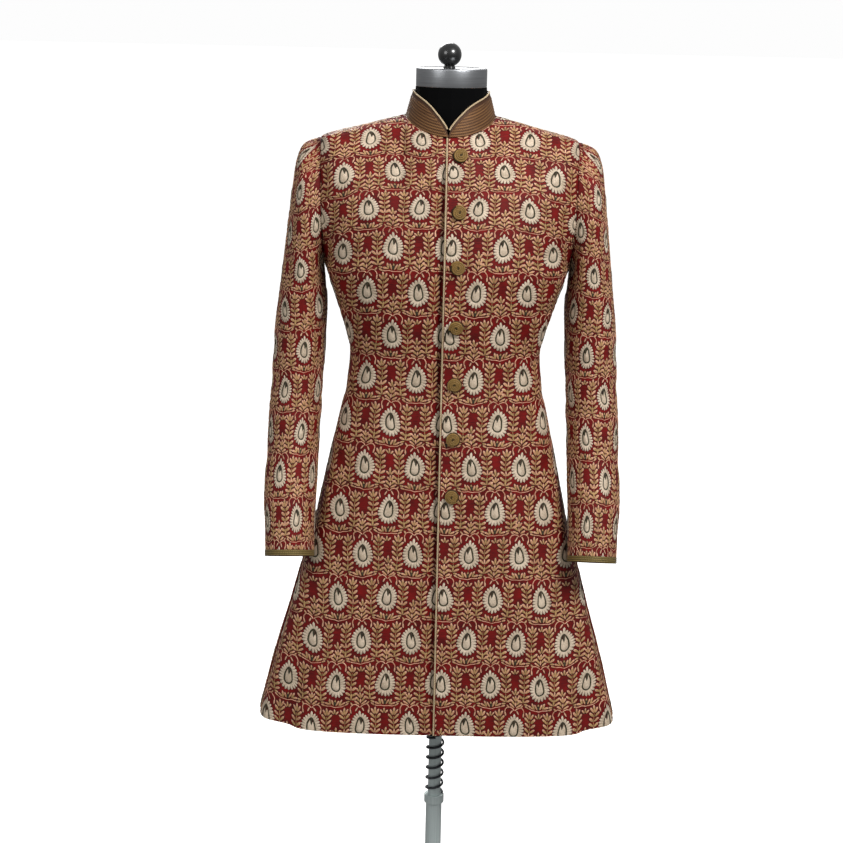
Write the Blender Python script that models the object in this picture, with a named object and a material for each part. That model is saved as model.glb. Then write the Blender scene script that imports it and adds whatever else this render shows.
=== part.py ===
"""A knee-length sherwani coat on a limbless dress form with a telescoping stand.

Units are metres, +Z up. The coat's front faces -Y and the wearer's left is +X. The origin is the middle of
the base's underside, on the pole's axis. The coat is a set of cloth walls: two fronts, two backs, two sleeves
and a stand collar, each computed from the section tables below, with trims laid on them.
"""

import math
from collections import namedtuple

import bmesh
import bpy
import numpy as np

# ---------------------------------------------------------------- driving dimensions

CLOTH = 0.002  # wall of the lined brocade
SEAM_GAP = 0.0003  # left between pieces that meet
HEM_Z = 0.452
ARMPIT_Z = 1.249
FRONT_EDGE_X = -0.004  # the left front's edge, just past the centre line
UNDERLAP = 0.030  # how far the right front runs under the left one
LAP_COLUMN_X = 0.0135  # both fronts have a column here, so that their walls keep even faces
LAP_STEP = (0.008, 0.020)  # the right front sinks between these distances from the centre
LAP_DEPTH = CLOTH + 0.0005

# One row for each height of the body: half width, then the y of the centre front, side seam and centre back,
# then the squareness (superellipse exponent) of the front and of the back.
Section = namedtuple("Section", "z half_width front_y side_y back_y front_power back_power")
BODY = [
    Section(0.452, 0.312, -0.172, -0.062, 0.176, 3.3, 2.7),
    Section(0.551, 0.288, -0.163, -0.050, 0.169, 3.1, 2.7),
    Section(0.639, 0.264, -0.154, -0.042, 0.161, 2.9, 2.6),
    Section(0.703, 0.2476, -0.148, -0.035, 0.154, 2.8, 2.6),
    Section(0.810, 0.2194, -0.138, -0.024, 0.142, 2.6, 2.5),
    Section(0.895, 0.201, -0.131, -0.016, 0.129, 2.5, 2.4),
    Section(0.959, 0.187, -0.126, -0.010, 0.118, 2.45, 2.4),
    Section(1.022, 0.1728, -0.122, -0.005, 0.110, 2.4, 2.35),
    Section(1.064, 0.1650, -0.121, -0.002, 0.107, 2.4, 2.3),
    Section(1.107, 0.1665, -0.123, 0.000, 0.108, 2.4, 2.3),
    Section(1.149, 0.177, -0.128, 0.003, 0.113, 2.4, 2.3),
    Section(1.191, 0.192, -0.133, 0.006, 0.120, 2.45, 2.35),
    Section(1.249, 0.211, -0.138, 0.008, 0.128, 2.5, 2.4),
]

# Soft flutes of the skirt: azimuth from the centre front, how far it stands out, half breadth, and the height
# it dies out at.
Flute = namedtuple("Flute", "azimuth_deg depth breadth_deg top_z")
FLUTES = [
    Flute(38, 0.003, 13, 0.80),
    Flute(57, -0.020, 14, 0.80),
    Flute(101, 0.006, 13, 0.84),
    Flute(121, -0.005, 9, 0.76),
    Flute(140, 0.007, 11, 0.88),
    Flute(160, -0.004, 8, 0.74),
]

ROW_HEIGHTS = (
    0.452, 0.51, 0.575, 0.645, 0.71, 0.78, 0.85, 0.92, 0.98, 1.03, 1.075, 1.12, 1.165, 1.21, 1.249
)
# Shares of the way from the armpit's level to the top edge.
ROW_RISES = (0.15, 0.32, 0.49, 0.64, 0.77, 0.88, 0.955, 0.99, 1.0)
FORM_BOTTOM_Z = 0.71

# Each column of a panel: its angle round the section, then where it ends at the top: on the neckline by an
# angle from the centre, or on the shoulder seam by a share of its length.
Column = namedtuple("Column", "section_deg neck_deg shoulder_share")
COLUMNS = [
    Column(5, 23, 0),
    Column(9.5, 42, 0),
    Column(14, 64, 0),
    Column(19, 90, 0),
    Column(26, 90, 0.20),
    Column(33, 90, 0.36),
    Column(41, 90, 0.52),
    Column(50, 90, 0.66),
    Column(59, 90, 0.78),
    Column(68, 90, 0.87),
    Column(79, 90, 0.95),
    Column(90, 90, 1.0),
]

NECK_HALF_WIDTH = 0.076
NECK_MIDDLE_Y = 0.006
NECK_FRONT_Y = -0.083
NECK_BACK_Y = 0.079
NECK_SIDE_Z = 1.500
NECK_FRONT_DROP = 0.031
NECK_BACK_DROP = 0.002
SHOULDER_TIP = (0.2175, 0.008, 1.4594)
SHOULDER_ARCH = 0.0012  # the shoulder seam's rise above a straight line
NECK_ROUNDING = 1.7  # how squarely the chest turns in to the neckline and the shoulder seam
SHOULDER_ROUNDING = 2.0
SHOULDER_TIP_ROWS = 3  # rows of the armhole's edge that lie on top of the shoulder
SHOULDER_TIP_TILT = 0.3  # how far the cloth may face outwards there
ARMHOLE_LEAN = 0.0065  # the armhole's top stands this much further out than its foot
ARMHOLE_FRONT = 0.068
ARMHOLE_BACK = 0.073
ARMHOLE_TURN_DEG = 30  # how much less than a quarter turn the chest makes before it meets the sleeve

# One row for each ring of the sleeve: its outer and its inner point, the y of its middle, its reach to the
# front and to the back, and how steeply its front rises as the arm bends forward.
Ring = namedtuple("Ring", "top_x top_z under_x under_z middle_y front back tilt")
SLEEVE = [
    Ring(0.2345, 1.4540, 0.2130, 1.241, 0.008, 0.073, 0.078, 0.0),
    Ring(0.2490, 1.4450, 0.2125, 1.234, 0.008, 0.077, 0.082, 0.0),
    Ring(0.2590, 1.4200, 0.2110, 1.226, 0.008, 0.080, 0.085, 0.0),
    Ring(0.2660, 1.3740, 0.2095, 1.217, 0.008, 0.081, 0.086, 0.0),
    Ring(0.2735, 1.3050, 0.2080, 1.206, 0.007, 0.080, 0.085, 0.0),
    Ring(0.2800, 1.2480, 0.2065, 1.195, 0.006, 0.079, 0.083, 0.0),
    Ring(0.2880, 1.1910, 0.2050, 1.180, 0.005, 0.077, 0.080, 0.0),
    Ring(0.2955, 1.1280, 0.2073, 1.122, 0.002, 0.074, 0.076, 0.02),
    Ring(0.2990, 1.0450, 0.2100, 1.042, -0.009, 0.069, 0.069, 0.06),
    Ring(0.3025, 0.9850, 0.2130, 0.984, -0.023, 0.066, 0.065, 0.12),
    Ring(0.3042, 0.9300, 0.2155, 0.930, -0.038, 0.063, 0.062, 0.18),
    Ring(0.3060, 0.8830, 0.2167, 0.883, -0.058, 0.060, 0.058, 0.24),
    Ring(0.3065, 0.8450, 0.2180, 0.846, -0.077, 0.057, 0.054, 0.29),
    Ring(0.3025, 0.7950, 0.2185, 0.797, -0.101, 0.052, 0.049, 0.32),
    Ring(0.3010, 0.7640, 0.2185, 0.766, -0.115, 0.048, 0.046, 0.33),
    Ring(0.3005, 0.7536, 0.2183, 0.7556, -0.120, 0.047, 0.045, 0.33),
]
SLEEVE_SIDES = 18
CUFF_BAND_THICKNESS = 0.0012

# The collar's height above the neckline at angles round the neck, 0 at the centre front and 180 at the back.
CollarHeight = namedtuple("CollarHeight", "neck_deg height")
COLLAR_HEIGHTS = [
    CollarHeight(0, 0.003),
    CollarHeight(4, 0.014),
    CollarHeight(12, 0.026),
    CollarHeight(20, 0.034),
    CollarHeight(30, 0.041),
    CollarHeight(45, 0.044),
    CollarHeight(70, 0.041),
    CollarHeight(90, 0.038),
    CollarHeight(130, 0.038),
    CollarHeight(180, 0.041),
]
COLLAR_LEAN = 0.26  # metres inwards for each metre up
COLLAR_WALL = 0.003
COLLAR_ROWS = 3
PIPING_RADIUS = 0.0015

BUTTON_HEIGHTS = (1.441, 1.351, 1.261, 1.160, 1.061, 0.968, 0.870)
BUTTON_INSET = 0.020  # from the front edge to the button's middle
BUTTON_RADIUS = 0.0128
BUTTON_RISE = 0.009

FORM_SEAT = 0.0004  # the shoulders carry the coat at this clearance
FORM_EASE = 0.011  # clearance of chest, waist and hips
FORM_WAIST_Z = 0.99
FORM_HIP_TAPER = 0.26  # how much narrower than the skirt the form's foot is
FORM_NECK_HALF_WIDTH = 0.0655
FORM_NECK_FRONT = 0.070
FORM_NECK_BACK = 0.061
NECK_COLUMN = ((1.514, 0.0630), (1.530, 0.0608), (1.5476, 0.0600))  # height, radius
CAP_RADIUS = 0.0597
CAP_BOTTOM_Z = 1.5479
CAP_HEIGHT = 0.031
KNOB_RADIUS = 0.0199
KNOB_STEM_RADIUS = 0.0085
KNOB_STEM = 0.004
KNOB_X = -0.004  # the knob is screwed in a little off the middle of the cap

ROD_RADIUS = 0.01175
TUBE_RADIUS = 0.0145
ROD_BOTTOM_Z = 0.040
ROD_TOP_Z = 0.800
BASE_RADIUS = 0.195
BASE_SOCKET_Z = 0.010
TUBE_TOP_Z = 0.249
TUBE_COLLAR_HEIGHT = 0.016
SPRING_RADIUS = 0.0149  # to the middle of the wire
SPRING_WIRE = 0.0021  # wire radius
SPRING_TURNS = 5.75
STOP_RING_BOTTOM_Z = 0.3833
STOP_RING_HEIGHT = 0.012
ROUND_SIDES = 24
BASE_SIDES = 36
SPRING_STEPS = 11  # for each turn of the wire


# ---------------------------------------------------------------- small helpers


def clear_scene():
    for scene_object in list(bpy.data.objects):
        bpy.data.objects.remove(scene_object, do_unlink=True)


def material(name, colour, roughness, metallic=0.0):
    made = bpy.data.materials.get(name) or bpy.data.materials.new(name)
    made.use_nodes = True
    shader = made.node_tree.nodes["Principled BSDF"]
    shader.inputs["Base Color"].default_value = (*colour, 1.0)
    shader.inputs["Roughness"].default_value = roughness
    shader.inputs["Metallic"].default_value = metallic
    return made


def smooth_step(value, low, high):
    share = min(max((value - low) / (high - low), 0.0), 1.0)
    return share * share * (3 - 2 * share)


def smooth_table(rows, key, value):
    """Reads a table of named tuples at `value` of its column `key`, by curves through its rows."""
    keys = [getattr(row, key) for row in rows]
    value = min(max(value, keys[0]), keys[-1])
    index = max(i for i in range(len(keys) - 1) if keys[i] <= value)
    before, start, end, after = (
        np.array(rows[min(max(i, 0), len(rows) - 1)]) for i in range(index - 1, index + 3)
    )
    share = (value - keys[index]) / (keys[index + 1] - keys[index])
    span = keys[index + 1] - keys[index]
    column = rows[0]._fields.index(key)
    into = (end - before) / (end[column] - before[column]) * span
    out = (after - start) / (after[column] - start[column]) * span
    cube, square = share**3, share**2
    mixed = (
        (2 * cube - 3 * square + 1) * start
        + (cube - 2 * square + share) * into
        + (3 * square - 2 * cube) * end
        + (cube - square) * out
    )
    return type(rows[0])(*mixed)


def unit(vectors):
    return vectors / np.maximum(np.linalg.norm(vectors, axis=-1, keepdims=True), 1e-12)


MIRROR = np.array([-1.0, 1.0, 1.0])


def mirrored(points):
    return points * MIRROR


def add_object(name, points, faces, finish):
    """Makes the object, with its faces turned outwards and its round parts shaded smooth."""
    mesh = bpy.data.meshes.new(name)
    mesh.from_pydata([tuple(p) for p in points], [], faces)
    work = bmesh.new()
    work.from_mesh(mesh)
    bmesh.ops.recalc_face_normals(work, faces=work.faces)
    work.to_mesh(mesh)
    work.free()
    mesh.shade_smooth()
    mesh.set_sharp_from_angle(angle=math.radians(40))
    mesh.materials.append(finish)
    made = bpy.data.objects.new(name, mesh)
    bpy.context.scene.collection.objects.link(made)
    return made


def wall(name, outer, inner, finish, closed=False):
    """A cloth wall between two grids of rows and columns; a closed one runs round on itself in each row."""
    rows, columns = outer.shape[:2]
    points = np.concatenate([outer.reshape(-1, 3), inner.reshape(-1, 3)])

    def at(layer, row, column):
        return layer * rows * columns + row * columns + column % columns

    faces = []
    last = columns if closed else columns - 1
    for row in range(rows - 1):
        for column in range(last):
            near = [(row, column), (row, column + 1), (row + 1, column + 1), (row + 1, column)]
            faces.append([at(0, *corner) for corner in near])
            faces.append([at(1, *corner) for corner in reversed(near)])
    for column in range(last):
        for row in (0, rows - 1):
            after = column + 1
            faces.append([at(0, row, column), at(1, row, column), at(1, row, after), at(0, row, after)])
    if not closed:
        for row in range(rows - 1):
            for column in (0, columns - 1):
                above = row + 1
                faces.append([at(0, row, column), at(0, above, column), at(1, above, column), at(1, row, column)])
    return add_object(name, points, faces, finish)


def tube_along(name, line, radius, sides, finish, frame_up):
    """A closed round cord along a line of points."""
    line = np.array(line)
    ahead = unit(np.gradient(line, axis=0))
    up = unit(np.broadcast_to(frame_up, line.shape) - (ahead * frame_up).sum(axis=1, keepdims=True) * ahead)
    across = np.cross(ahead, up)
    points, faces = [], []
    for middle, side, top in zip(line, across, up):
        for step in range(sides):
            angle = 2 * math.pi * step / sides
            points.append(middle + radius * (math.cos(angle) * side + math.sin(angle) * top))
    for ring in range(len(line) - 1):
        here = ring * sides
        for step in range(sides):
            after = (step + 1) % sides
            faces.append(
                [here + step, here + after, here + sides + after, here + sides + step]
            )
    faces.append(list(range(sides))[::-1])
    faces.append([(len(line) - 1) * sides + step for step in range(sides)])
    return add_object(name, points, faces, finish)


def lathe(name, profile, finish, sides=ROUND_SIDES):
    """Turns a closed profile of (radius, height) round the pole's axis; a radius of 0 closes to one point."""
    points, rings = [], []
    for radius, height in profile:
        if radius == 0:
            rings.append([len(points)])
            points.append((0.0, 0.0, height))
            continue
        rings.append(list(range(len(points), len(points) + sides)))
        for step in range(sides):
            angle = 2 * math.pi * step / sides
            points.append((radius * math.cos(angle), radius * math.sin(angle), height))
    faces = []
    closes = profile[0][0] != 0
    pairs = list(zip(rings, rings[1:])) + ([(rings[-1], rings[0])] if closes else [])
    for low, high in pairs:
        for step in range(sides):
            after = (step + 1) % sides
            below = [low[step % len(low)], low[after % len(low)]]
            above = [high[after % len(high)], high[step % len(high)]]
            faces.append(list(dict.fromkeys(below + above)))
    return add_object(name, points, faces, finish)


# ---------------------------------------------------------------- the body's surface


def flute_depth(azimuth_deg, z):
    """How far the skirt's soft flutes move the cloth out at this place."""
    depth = 0.0
    for flute in FLUTES:
        near = math.exp(-(((azimuth_deg - flute.azimuth_deg) / flute.breadth_deg) ** 2))
        depth += flute.depth * near * (1 - smooth_step(z, HEM_Z, flute.top_z))
    return depth


def section_point(face, section_deg, z):
    """A point of the body below the armpit, on the +X side."""
    row = smooth_table(BODY, "z", z)
    power = row.front_power if face == "front" else row.back_power
    middle_y = row.front_y if face == "front" else row.back_y
    turn = math.radians(section_deg)
    share = math.sin(turn) ** (2 / power)
    curve = max(math.cos(turn), 0.0) ** (2 / power)
    point = np.array([row.half_width * share, row.side_y + (middle_y - row.side_y) * curve, z])
    azimuth = section_deg if face == "front" else 180 - section_deg
    outward = np.array([share, (middle_y - row.side_y) / row.half_width * curve, 0.0])
    return point + unit(outward) * flute_depth(azimuth, z)


def neckline_point(face, neck_deg):
    turn = math.radians(neck_deg)
    if face == "front":
        reach, drop = NECK_FRONT_Y - NECK_MIDDLE_Y, NECK_FRONT_DROP
    else:
        reach, drop = NECK_BACK_Y - NECK_MIDDLE_Y, NECK_BACK_DROP
    height = NECK_SIDE_Z - drop * max(math.cos(turn), 0.0) ** 1.3
    return np.array([NECK_HALF_WIDTH * math.sin(turn), NECK_MIDDLE_Y + reach * math.cos(turn), height])


def top_point(face, column):
    """Where a column ends, on the neckline or on the shoulder seam."""
    if column.shoulder_share == 0:
        return neckline_point(face, column.neck_deg)
    share = column.shoulder_share
    point = (1 - share) * neckline_point(face, 90) + share * np.array(SHOULDER_TIP)
    return point + np.array([0.0, 0.0, 4 * SHOULDER_ARCH * share * (1 - share)])


def armhole_point(face, rise):
    """The armhole's edge, from the armpit (0) up to the shoulder tip (1)."""
    turn = math.pi * (1 - rise)
    tip_x, tip_y, tip_z = SHOULDER_TIP
    middle_z = (tip_z + ARMPIT_Z) / 2
    half_height = (tip_z - ARMPIT_Z) / 2
    reach = -ARMHOLE_FRONT if face == "front" else ARMHOLE_BACK
    lean = ARMHOLE_LEAN / 2
    across, along = math.cos(turn), math.sin(turn)
    return np.array([tip_x - lean + lean * across, tip_y + reach * along, middle_z + half_height * across])


def upper_point(face, column, rise):
    """A point between the armpit's level and the top edge: each row runs from the centre to the armhole."""
    row = BODY[-1]
    edge = armhole_point(face, rise)
    power = row.front_power if face == "front" else row.back_power
    middle_y = row.front_y if face == "front" else row.back_y
    last_deg = 90 - ARMHOLE_TURN_DEG * math.sin(math.pi * rise)
    last = math.radians(last_deg)
    turn = last * column.section_deg / 90
    share = (math.sin(turn) / math.sin(last)) ** (2 / power)
    low_curve = max(math.cos(last), 0.0) ** (2 / power)
    curve = (max(math.cos(turn), 0.0) ** (2 / power) - low_curve) / (1 - low_curve)
    top = top_point(face, column)
    foot_share = math.sin(math.radians(column.section_deg)) ** (2 / power)
    towards_edge = foot_share**6
    rounding = NECK_ROUNDING + (SHOULDER_ROUNDING - NECK_ROUNDING) * foot_share
    turn_in = (1 - (1 - rise**rounding) ** (1 / rounding)) * (1 - towards_edge)
    section_x = edge[0] * share
    section_y = edge[1] + (middle_y - edge[1]) * curve
    edge_rise = (edge[2] - ARMPIT_Z) / (SHOULDER_TIP[2] - ARMPIT_Z)
    height_share = (1 - towards_edge) * rise + towards_edge * edge_rise
    settle = smooth_step(rise, 0.0, 1.0) * (1 - towards_edge)
    if rise >= 1:
        return top
    return np.array(
        [
            section_x + (top[0] - section_x) * settle,
            section_y + (top[1] - section_y) * turn_in,
            ARMPIT_Z + (top[2] - ARMPIT_Z) * height_share,
        ]
    )


def centre_column(face, x, z_or_rise, upper):
    """A point at a set distance x from the centre line, which may run past it."""
    reach_deg = 90 * (x / NECK_HALF_WIDTH) / 6
    if upper:
        column = Column(abs(reach_deg), abs(math.degrees(math.asin(x / NECK_HALF_WIDTH))), 0)
        point = upper_point(face, column, z_or_rise)
    else:
        point = section_point(face, abs(reach_deg), z_or_rise)
    point[0] = x
    return point


def quarter(face, centre_xs):
    """One quarter of the body on the +X side: rows from hem to top, columns from centre to side."""
    grid = []
    for z in ROW_HEIGHTS:
        row = [centre_column(face, x, z, False) for x in centre_xs]
        row += [section_point(face, column.section_deg, z) for column in COLUMNS]
        grid.append(row)
    for rise in ROW_RISES:
        row = [centre_column(face, x, rise, True) for x in centre_xs]
        row += [upper_point(face, column, rise) for column in COLUMNS]
        grid.append(row)
    return np.array(grid)


def normals_of(grids):
    """Outward normals at the points of several grids, shared where their edges meet."""
    totals = {}

    def key(point):
        return tuple(np.round(point * 1e6).astype(int))

    for grid, flip in grids:
        for row in range(grid.shape[0] - 1):
            for column in range(grid.shape[1] - 1):
                low, high = grid[row], grid[row + 1]
                corners = [low[column], low[column + 1], high[column + 1], high[column]]
                normal = np.cross(corners[2] - corners[0], corners[3] - corners[1]) * flip
                for corner in corners:
                    totals[key(corner)] = totals.get(key(corner), np.zeros(3)) + normal
    return [unit(np.array([[totals[key(p)] for p in row] for row in grid])) for grid, flip in grids]


def drawn_in(grid, rows=(), columns=()):
    """Pulls edge rows and columns half a seam's gap into the panel."""
    grid = grid.copy()
    for row in rows:
        inner = 1 if row == 0 else row - 1
        grid[row] += unit(grid[inner] - grid[row]) * SEAM_GAP / 2
    for column in columns:
        inner = 1 if column == 0 else column - 1
        grid[:, column] += unit(grid[:, inner] - grid[:, column]) * SEAM_GAP / 2
    return grid


def half_body_grids():
    """The front's and the back's quarter on the +X side, with normals shared at their seams."""
    front = quarter("front", (0.0,))
    back = quarter("back", (0.0,))
    sides = [(front, 1), (back, -1), (mirrored(front), -1), (mirrored(back), 1)]
    normals = normals_of(sides)
    for face_normals in normals[:2]:
        tip = face_normals[-SHOULDER_TIP_ROWS:, -1]
        tip[:, 0] = np.minimum(tip[:, 0], SHOULDER_TIP_TILT)
        face_normals[-SHOULDER_TIP_ROWS:, -1] = unit(tip)
    return {"front": (front, normals[0]), "back": (back, normals[1])}


def panel_walls(face, centre_xs, lap):
    """Outer and inner grids of one panel on the +X side, with the lap's sinking applied."""
    grid = quarter(face, centre_xs)
    whole, whole_normals = half_body_grids()[face]
    normals = normals_of([(grid, 1 if face == "front" else -1)])[0]
    shared = whole.shape[1] - 1
    normals[:, -shared:] = whole_normals[:, -shared:]
    if lap:
        for column in range(grid.shape[1]):
            across = grid[:, column, 0]
            sink = np.array([1 - smooth_step(x, *LAP_STEP) for x in across])
            grid[:, column] -= normals[:, column] * (LAP_DEPTH * sink)[:, None]
    top = len(grid) - 1
    edges = [grid.shape[1] - 1] + ([0] if face == "back" else [])
    outer = drawn_in(grid, rows=(top,), columns=edges)
    inner = drawn_in(grid - normals * CLOTH, rows=(top,), columns=edges)
    if face == "back":
        outer[:, 0, 0] = inner[:, 0, 0] = SEAM_GAP / 2
    return outer, inner


LEFT_CENTRE_XS = (FRONT_EDGE_X, LAP_COLUMN_X)
RIGHT_CENTRE_XS = (-UNDERLAP, -LAP_COLUMN_X, -FRONT_EDGE_X, LAP_STEP[0], LAP_COLUMN_X)


def make_fronts(cloth):
    left_outer, left_inner = panel_walls("front", LEFT_CENTRE_XS, lap=False)
    wall("front_left", left_outer, left_inner, cloth)
    right_outer, right_inner = panel_walls("front", RIGHT_CENTRE_XS, lap=True)
    wall("front_right", mirrored(right_outer), mirrored(right_inner), cloth)
    return left_outer


def make_backs(cloth):
    outer, inner = panel_walls("back", (0.0,), lap=False)
    wall("back_left", outer, inner, cloth)
    wall("back_right", mirrored(outer), mirrored(inner), cloth)


# ---------------------------------------------------------------- sleeves


def ring_points(ring):
    """One ring of the sleeve, from its outer point round by the front."""
    points = []
    for step in range(SLEEVE_SIDES):
        turn = 2 * math.pi * step / SLEEVE_SIDES
        along = (1 + math.cos(turn)) / 2
        reach = ring.front if math.sin(turn) > 0 else ring.back
        points.append(
            (
                ring.under_x + (ring.top_x - ring.under_x) * along,
                ring.middle_y - reach * math.sin(turn),
                ring.under_z + (ring.top_z - ring.under_z) * along + ring.tilt * reach * math.sin(turn),
            )
        )
    return np.array(points)


def armhole_ring():
    tip_x, tip_y, tip_z = SHOULDER_TIP
    return Ring(tip_x, tip_z, tip_x - ARMHOLE_LEAN, ARMPIT_Z, tip_y, ARMHOLE_FRONT, ARMHOLE_BACK, 0.0)


def sleeve_grids():
    grid = np.array([ring_points(ring) for ring in [armhole_ring()] + SLEEVE])
    closed = np.concatenate([grid, grid[:, :1]], axis=1)
    normals = normals_of([(closed, 1)])[0][:, :-1]
    middle = grid.mean(axis=1, keepdims=True)
    normals *= np.sign((normals * (grid - middle)).sum(axis=2, keepdims=True))
    outer = grid.copy()
    outer[0, :, 0] += SEAM_GAP / 2
    inner = grid - normals * CLOTH
    inner[0, :, 0] = grid[0, :, 0] + SEAM_GAP / 2
    return outer, inner, normals


def make_sleeves(cloth, band):
    outer, inner, normals = sleeve_grids()
    rows = slice(-2, None)
    band_inner = outer[rows] + normals[rows] * SEAM_GAP
    band_outer = outer[rows] + normals[rows] * (SEAM_GAP + CUFF_BAND_THICKNESS)
    for side, turned in (("left", np.array), ("right", mirrored)):
        wall("sleeve_" + side, turned(outer), turned(inner), cloth, closed=True)
        wall("cuff_band_" + side, turned(band_outer), turned(band_inner), band, closed=True)


# ---------------------------------------------------------------- collar and pipings


def collar_feet():
    """The collar's foot, from the left front's edge round the back to the right front's edge.

    It follows the straight stretches between the panels' own columns. Each point comes with its angle from the
    front edge, for the height table.
    """
    edge_deg = math.degrees(math.asin(-FRONT_EDGE_X / NECK_HALF_WIDTH))
    lap_deg = math.degrees(math.asin(LAP_COLUMN_X / NECK_HALF_WIDTH))
    shared = [column.neck_deg for column in COLUMNS if column.shoulder_share == 0]
    stops = []
    for side, start in ((1, -edge_deg), (-1, edge_deg)):
        angles = (start, lap_deg, *shared)
        feet = [(neckline_point("front", degrees), degrees + side * edge_deg) for degrees in angles]
        feet += [(neckline_point("back", degrees), 180 - degrees) for degrees in (*shared[-2::-1], 0)]
        feet = [(point * np.array([side, 1.0, 1.0]), degrees) for point, degrees in feet]
        stops += feet if side == 1 else feet[-2::-1]
    path = []
    for (here, here_deg), (there, there_deg) in zip(stops, stops[1:]):
        for share in (0.0, 0.5):
            path.append((here + (there - here) * share, here_deg + (there_deg - here_deg) * share))
    return path + [stops[-1]]


def collar_grid(offset):
    """Rows up the collar at this distance outside its inner face."""
    middle = np.array([0.0, NECK_MIDDLE_Y, 0.0])
    columns = []
    for foot, edge_deg in collar_feet():
        height = smooth_table(COLLAR_HEIGHTS, "neck_deg", edge_deg).height
        outward = foot - middle
        outward[2] = 0.0
        outward = unit(outward)
        column = []
        for row in range(COLLAR_ROWS + 1):
            rise = height * row / COLLAR_ROWS
            place = foot + outward * (offset - COLLAR_LEAN * rise - COLLAR_WALL)
            column.append(place + np.array([0.0, 0.0, SEAM_GAP + rise]))
        columns.append(column)
    return np.array(columns).transpose(1, 0, 2)


def cut_at_x(line, limit):
    """The line without the stretch at its start that lies below x = limit."""
    first = int(np.argmax(line[:, 0] > limit))
    before, after = line[first - 1], line[first]
    crossing = before + (after - before) * (limit - before[0]) / (after[0] - before[0])
    return np.concatenate([[crossing], line[first:]])


def make_collar(cord_cloth, piping):
    outer, inner = collar_grid(COLLAR_WALL), collar_grid(0.0)
    for grid in (outer, inner):
        grid[:, 0, 0] = FRONT_EDGE_X + SEAM_GAP / 2
        grid[:, -1, 0] = FRONT_EDGE_X - SEAM_GAP / 2
    wall("collar", outer, inner, cord_cloth)
    top = (outer[-1] + inner[-1]) / 2
    below = (outer[-2] + inner[-2]) / 2
    along = unit(np.gradient(top, axis=0))
    rise = unit(top - below)
    rise = unit(rise - (rise * along).sum(axis=1, keepdims=True) * along)
    line = top + rise * (PIPING_RADIUS + 2 * SEAM_GAP)
    clear = PIPING_RADIUS + SEAM_GAP
    line = cut_at_x(line, FRONT_EDGE_X + clear)
    line = cut_at_x(line[::-1] * MIRROR, -(FRONT_EDGE_X - clear))[::-1] * MIRROR
    tube_along("collar_piping", line, PIPING_RADIUS, 6, piping, np.array([0.0, 0.0, 1.0]))


def make_front_piping(left_outer, piping):
    edge = left_outer[:-1, 0]
    along = unit(np.gradient(edge, axis=0))
    outward = unit(np.cross(along, np.array([1.0, 0.0, 0.0])))
    outward *= np.sign(-outward[:, 1:2])
    away = np.array([-(PIPING_RADIUS + SEAM_GAP), 0.0, 0.0])
    line = edge + away - outward * (CLOTH - PIPING_RADIUS)
    tube_along("front_piping", line, PIPING_RADIUS, 6, piping, np.array([0.0, -1.0, 0.0]))


# ---------------------------------------------------------------- buttons


def front_surface(x, z):
    """A point of the left front's outer face and its outward direction, near the front edge."""

    def point_at(px, pz):
        if pz <= ARMPIT_Z:
            return centre_column("front", px, pz, False)
        low, high = 0.0, 1.0
        for _ in range(40):
            rise = (low + high) / 2
            if centre_column("front", px, rise, True)[2] < pz:
                low = rise
            else:
                high = rise
        return centre_column("front", px, (low + high) / 2, True)

    step = 0.004
    here = point_at(x, z)
    across = point_at(x + step, z) - point_at(x - step, z)
    upwards = point_at(x, z + step) - point_at(x, z - step)
    normal = np.cross(across, upwards)
    return here, unit(normal)


def make_buttons(wound_cord):
    profile = [
        (0.0, 0.0),
        (BUTTON_RADIUS * 0.80, 0.0),
        (BUTTON_RADIUS, BUTTON_RISE * 0.28),
        (BUTTON_RADIUS * 0.94, BUTTON_RISE * 0.55),
        (BUTTON_RADIUS * 0.66, BUTTON_RISE * 0.86),
        (BUTTON_RADIUS * 0.25, BUTTON_RISE),
        (0.0, BUTTON_RISE * 0.97),
    ]
    for number, z in enumerate(BUTTON_HEIGHTS, start=1):
        place, out = front_surface(FRONT_EDGE_X + BUTTON_INSET, z)
        button = lathe(f"button_{number}", profile, wound_cord, sides=14)
        turn = math.atan2(out[2], -out[1])
        button.rotation_euler = (math.pi / 2 - turn, 0.0, 0.0)
        button.location = place + out * 2 * SEAM_GAP


# ---------------------------------------------------------------- the dress form


def form_clearance(row, column, rows, columns):
    """How far the form lies inside the cloth: tight on top of the shoulders, eased elsewhere."""
    rise = 0.0 if row < len(ROW_HEIGHTS) else ROW_RISES[row - len(ROW_HEIGHTS)]
    across = smooth_step(column / (columns - 1), 0.30, 0.42)
    tight = smooth_step(rise, 0.72, 0.97) * across * (1 - smooth_step(column / (columns - 1), 0.80, 0.93))
    return FORM_EASE + (FORM_SEAT - FORM_EASE) * tight


def form_neck_point(face, neck_deg):
    turn = math.radians(neck_deg)
    reach = -FORM_NECK_FRONT if face == "front" else FORM_NECK_BACK
    height = neckline_point(face, neck_deg)[2]
    return np.array([FORM_NECK_HALF_WIDTH * math.sin(turn), NECK_MIDDLE_Y + reach * math.cos(turn), height])


def form_quarter(face):
    grid, normals = half_body_grids()[face]
    first = ROW_HEIGHTS.index(FORM_BOTTOM_Z)
    rows, columns = grid.shape[:2]
    inset = grid.copy()
    for row in range(rows):
        for column in range(columns):
            depth = CLOTH + form_clearance(row, column, rows, columns)
            inset[row, column] -= normals[row, column] * depth
            hips = 1 - smooth_step(inset[row, column, 2], FORM_BOTTOM_Z, FORM_WAIST_Z)
            inset[row, column, :2] *= 1 - FORM_HIP_TAPER * hips
    for column in range(columns - len(COLUMNS), columns):
        entry = COLUMNS[column - columns]
        if entry.shoulder_share == 0:
            inset[-1, column] = form_neck_point(face, entry.neck_deg)
    inset[-1, 0] = form_neck_point(face, 0)
    inset[:, 0, 0] = 0.0
    return inset[first:]


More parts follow.
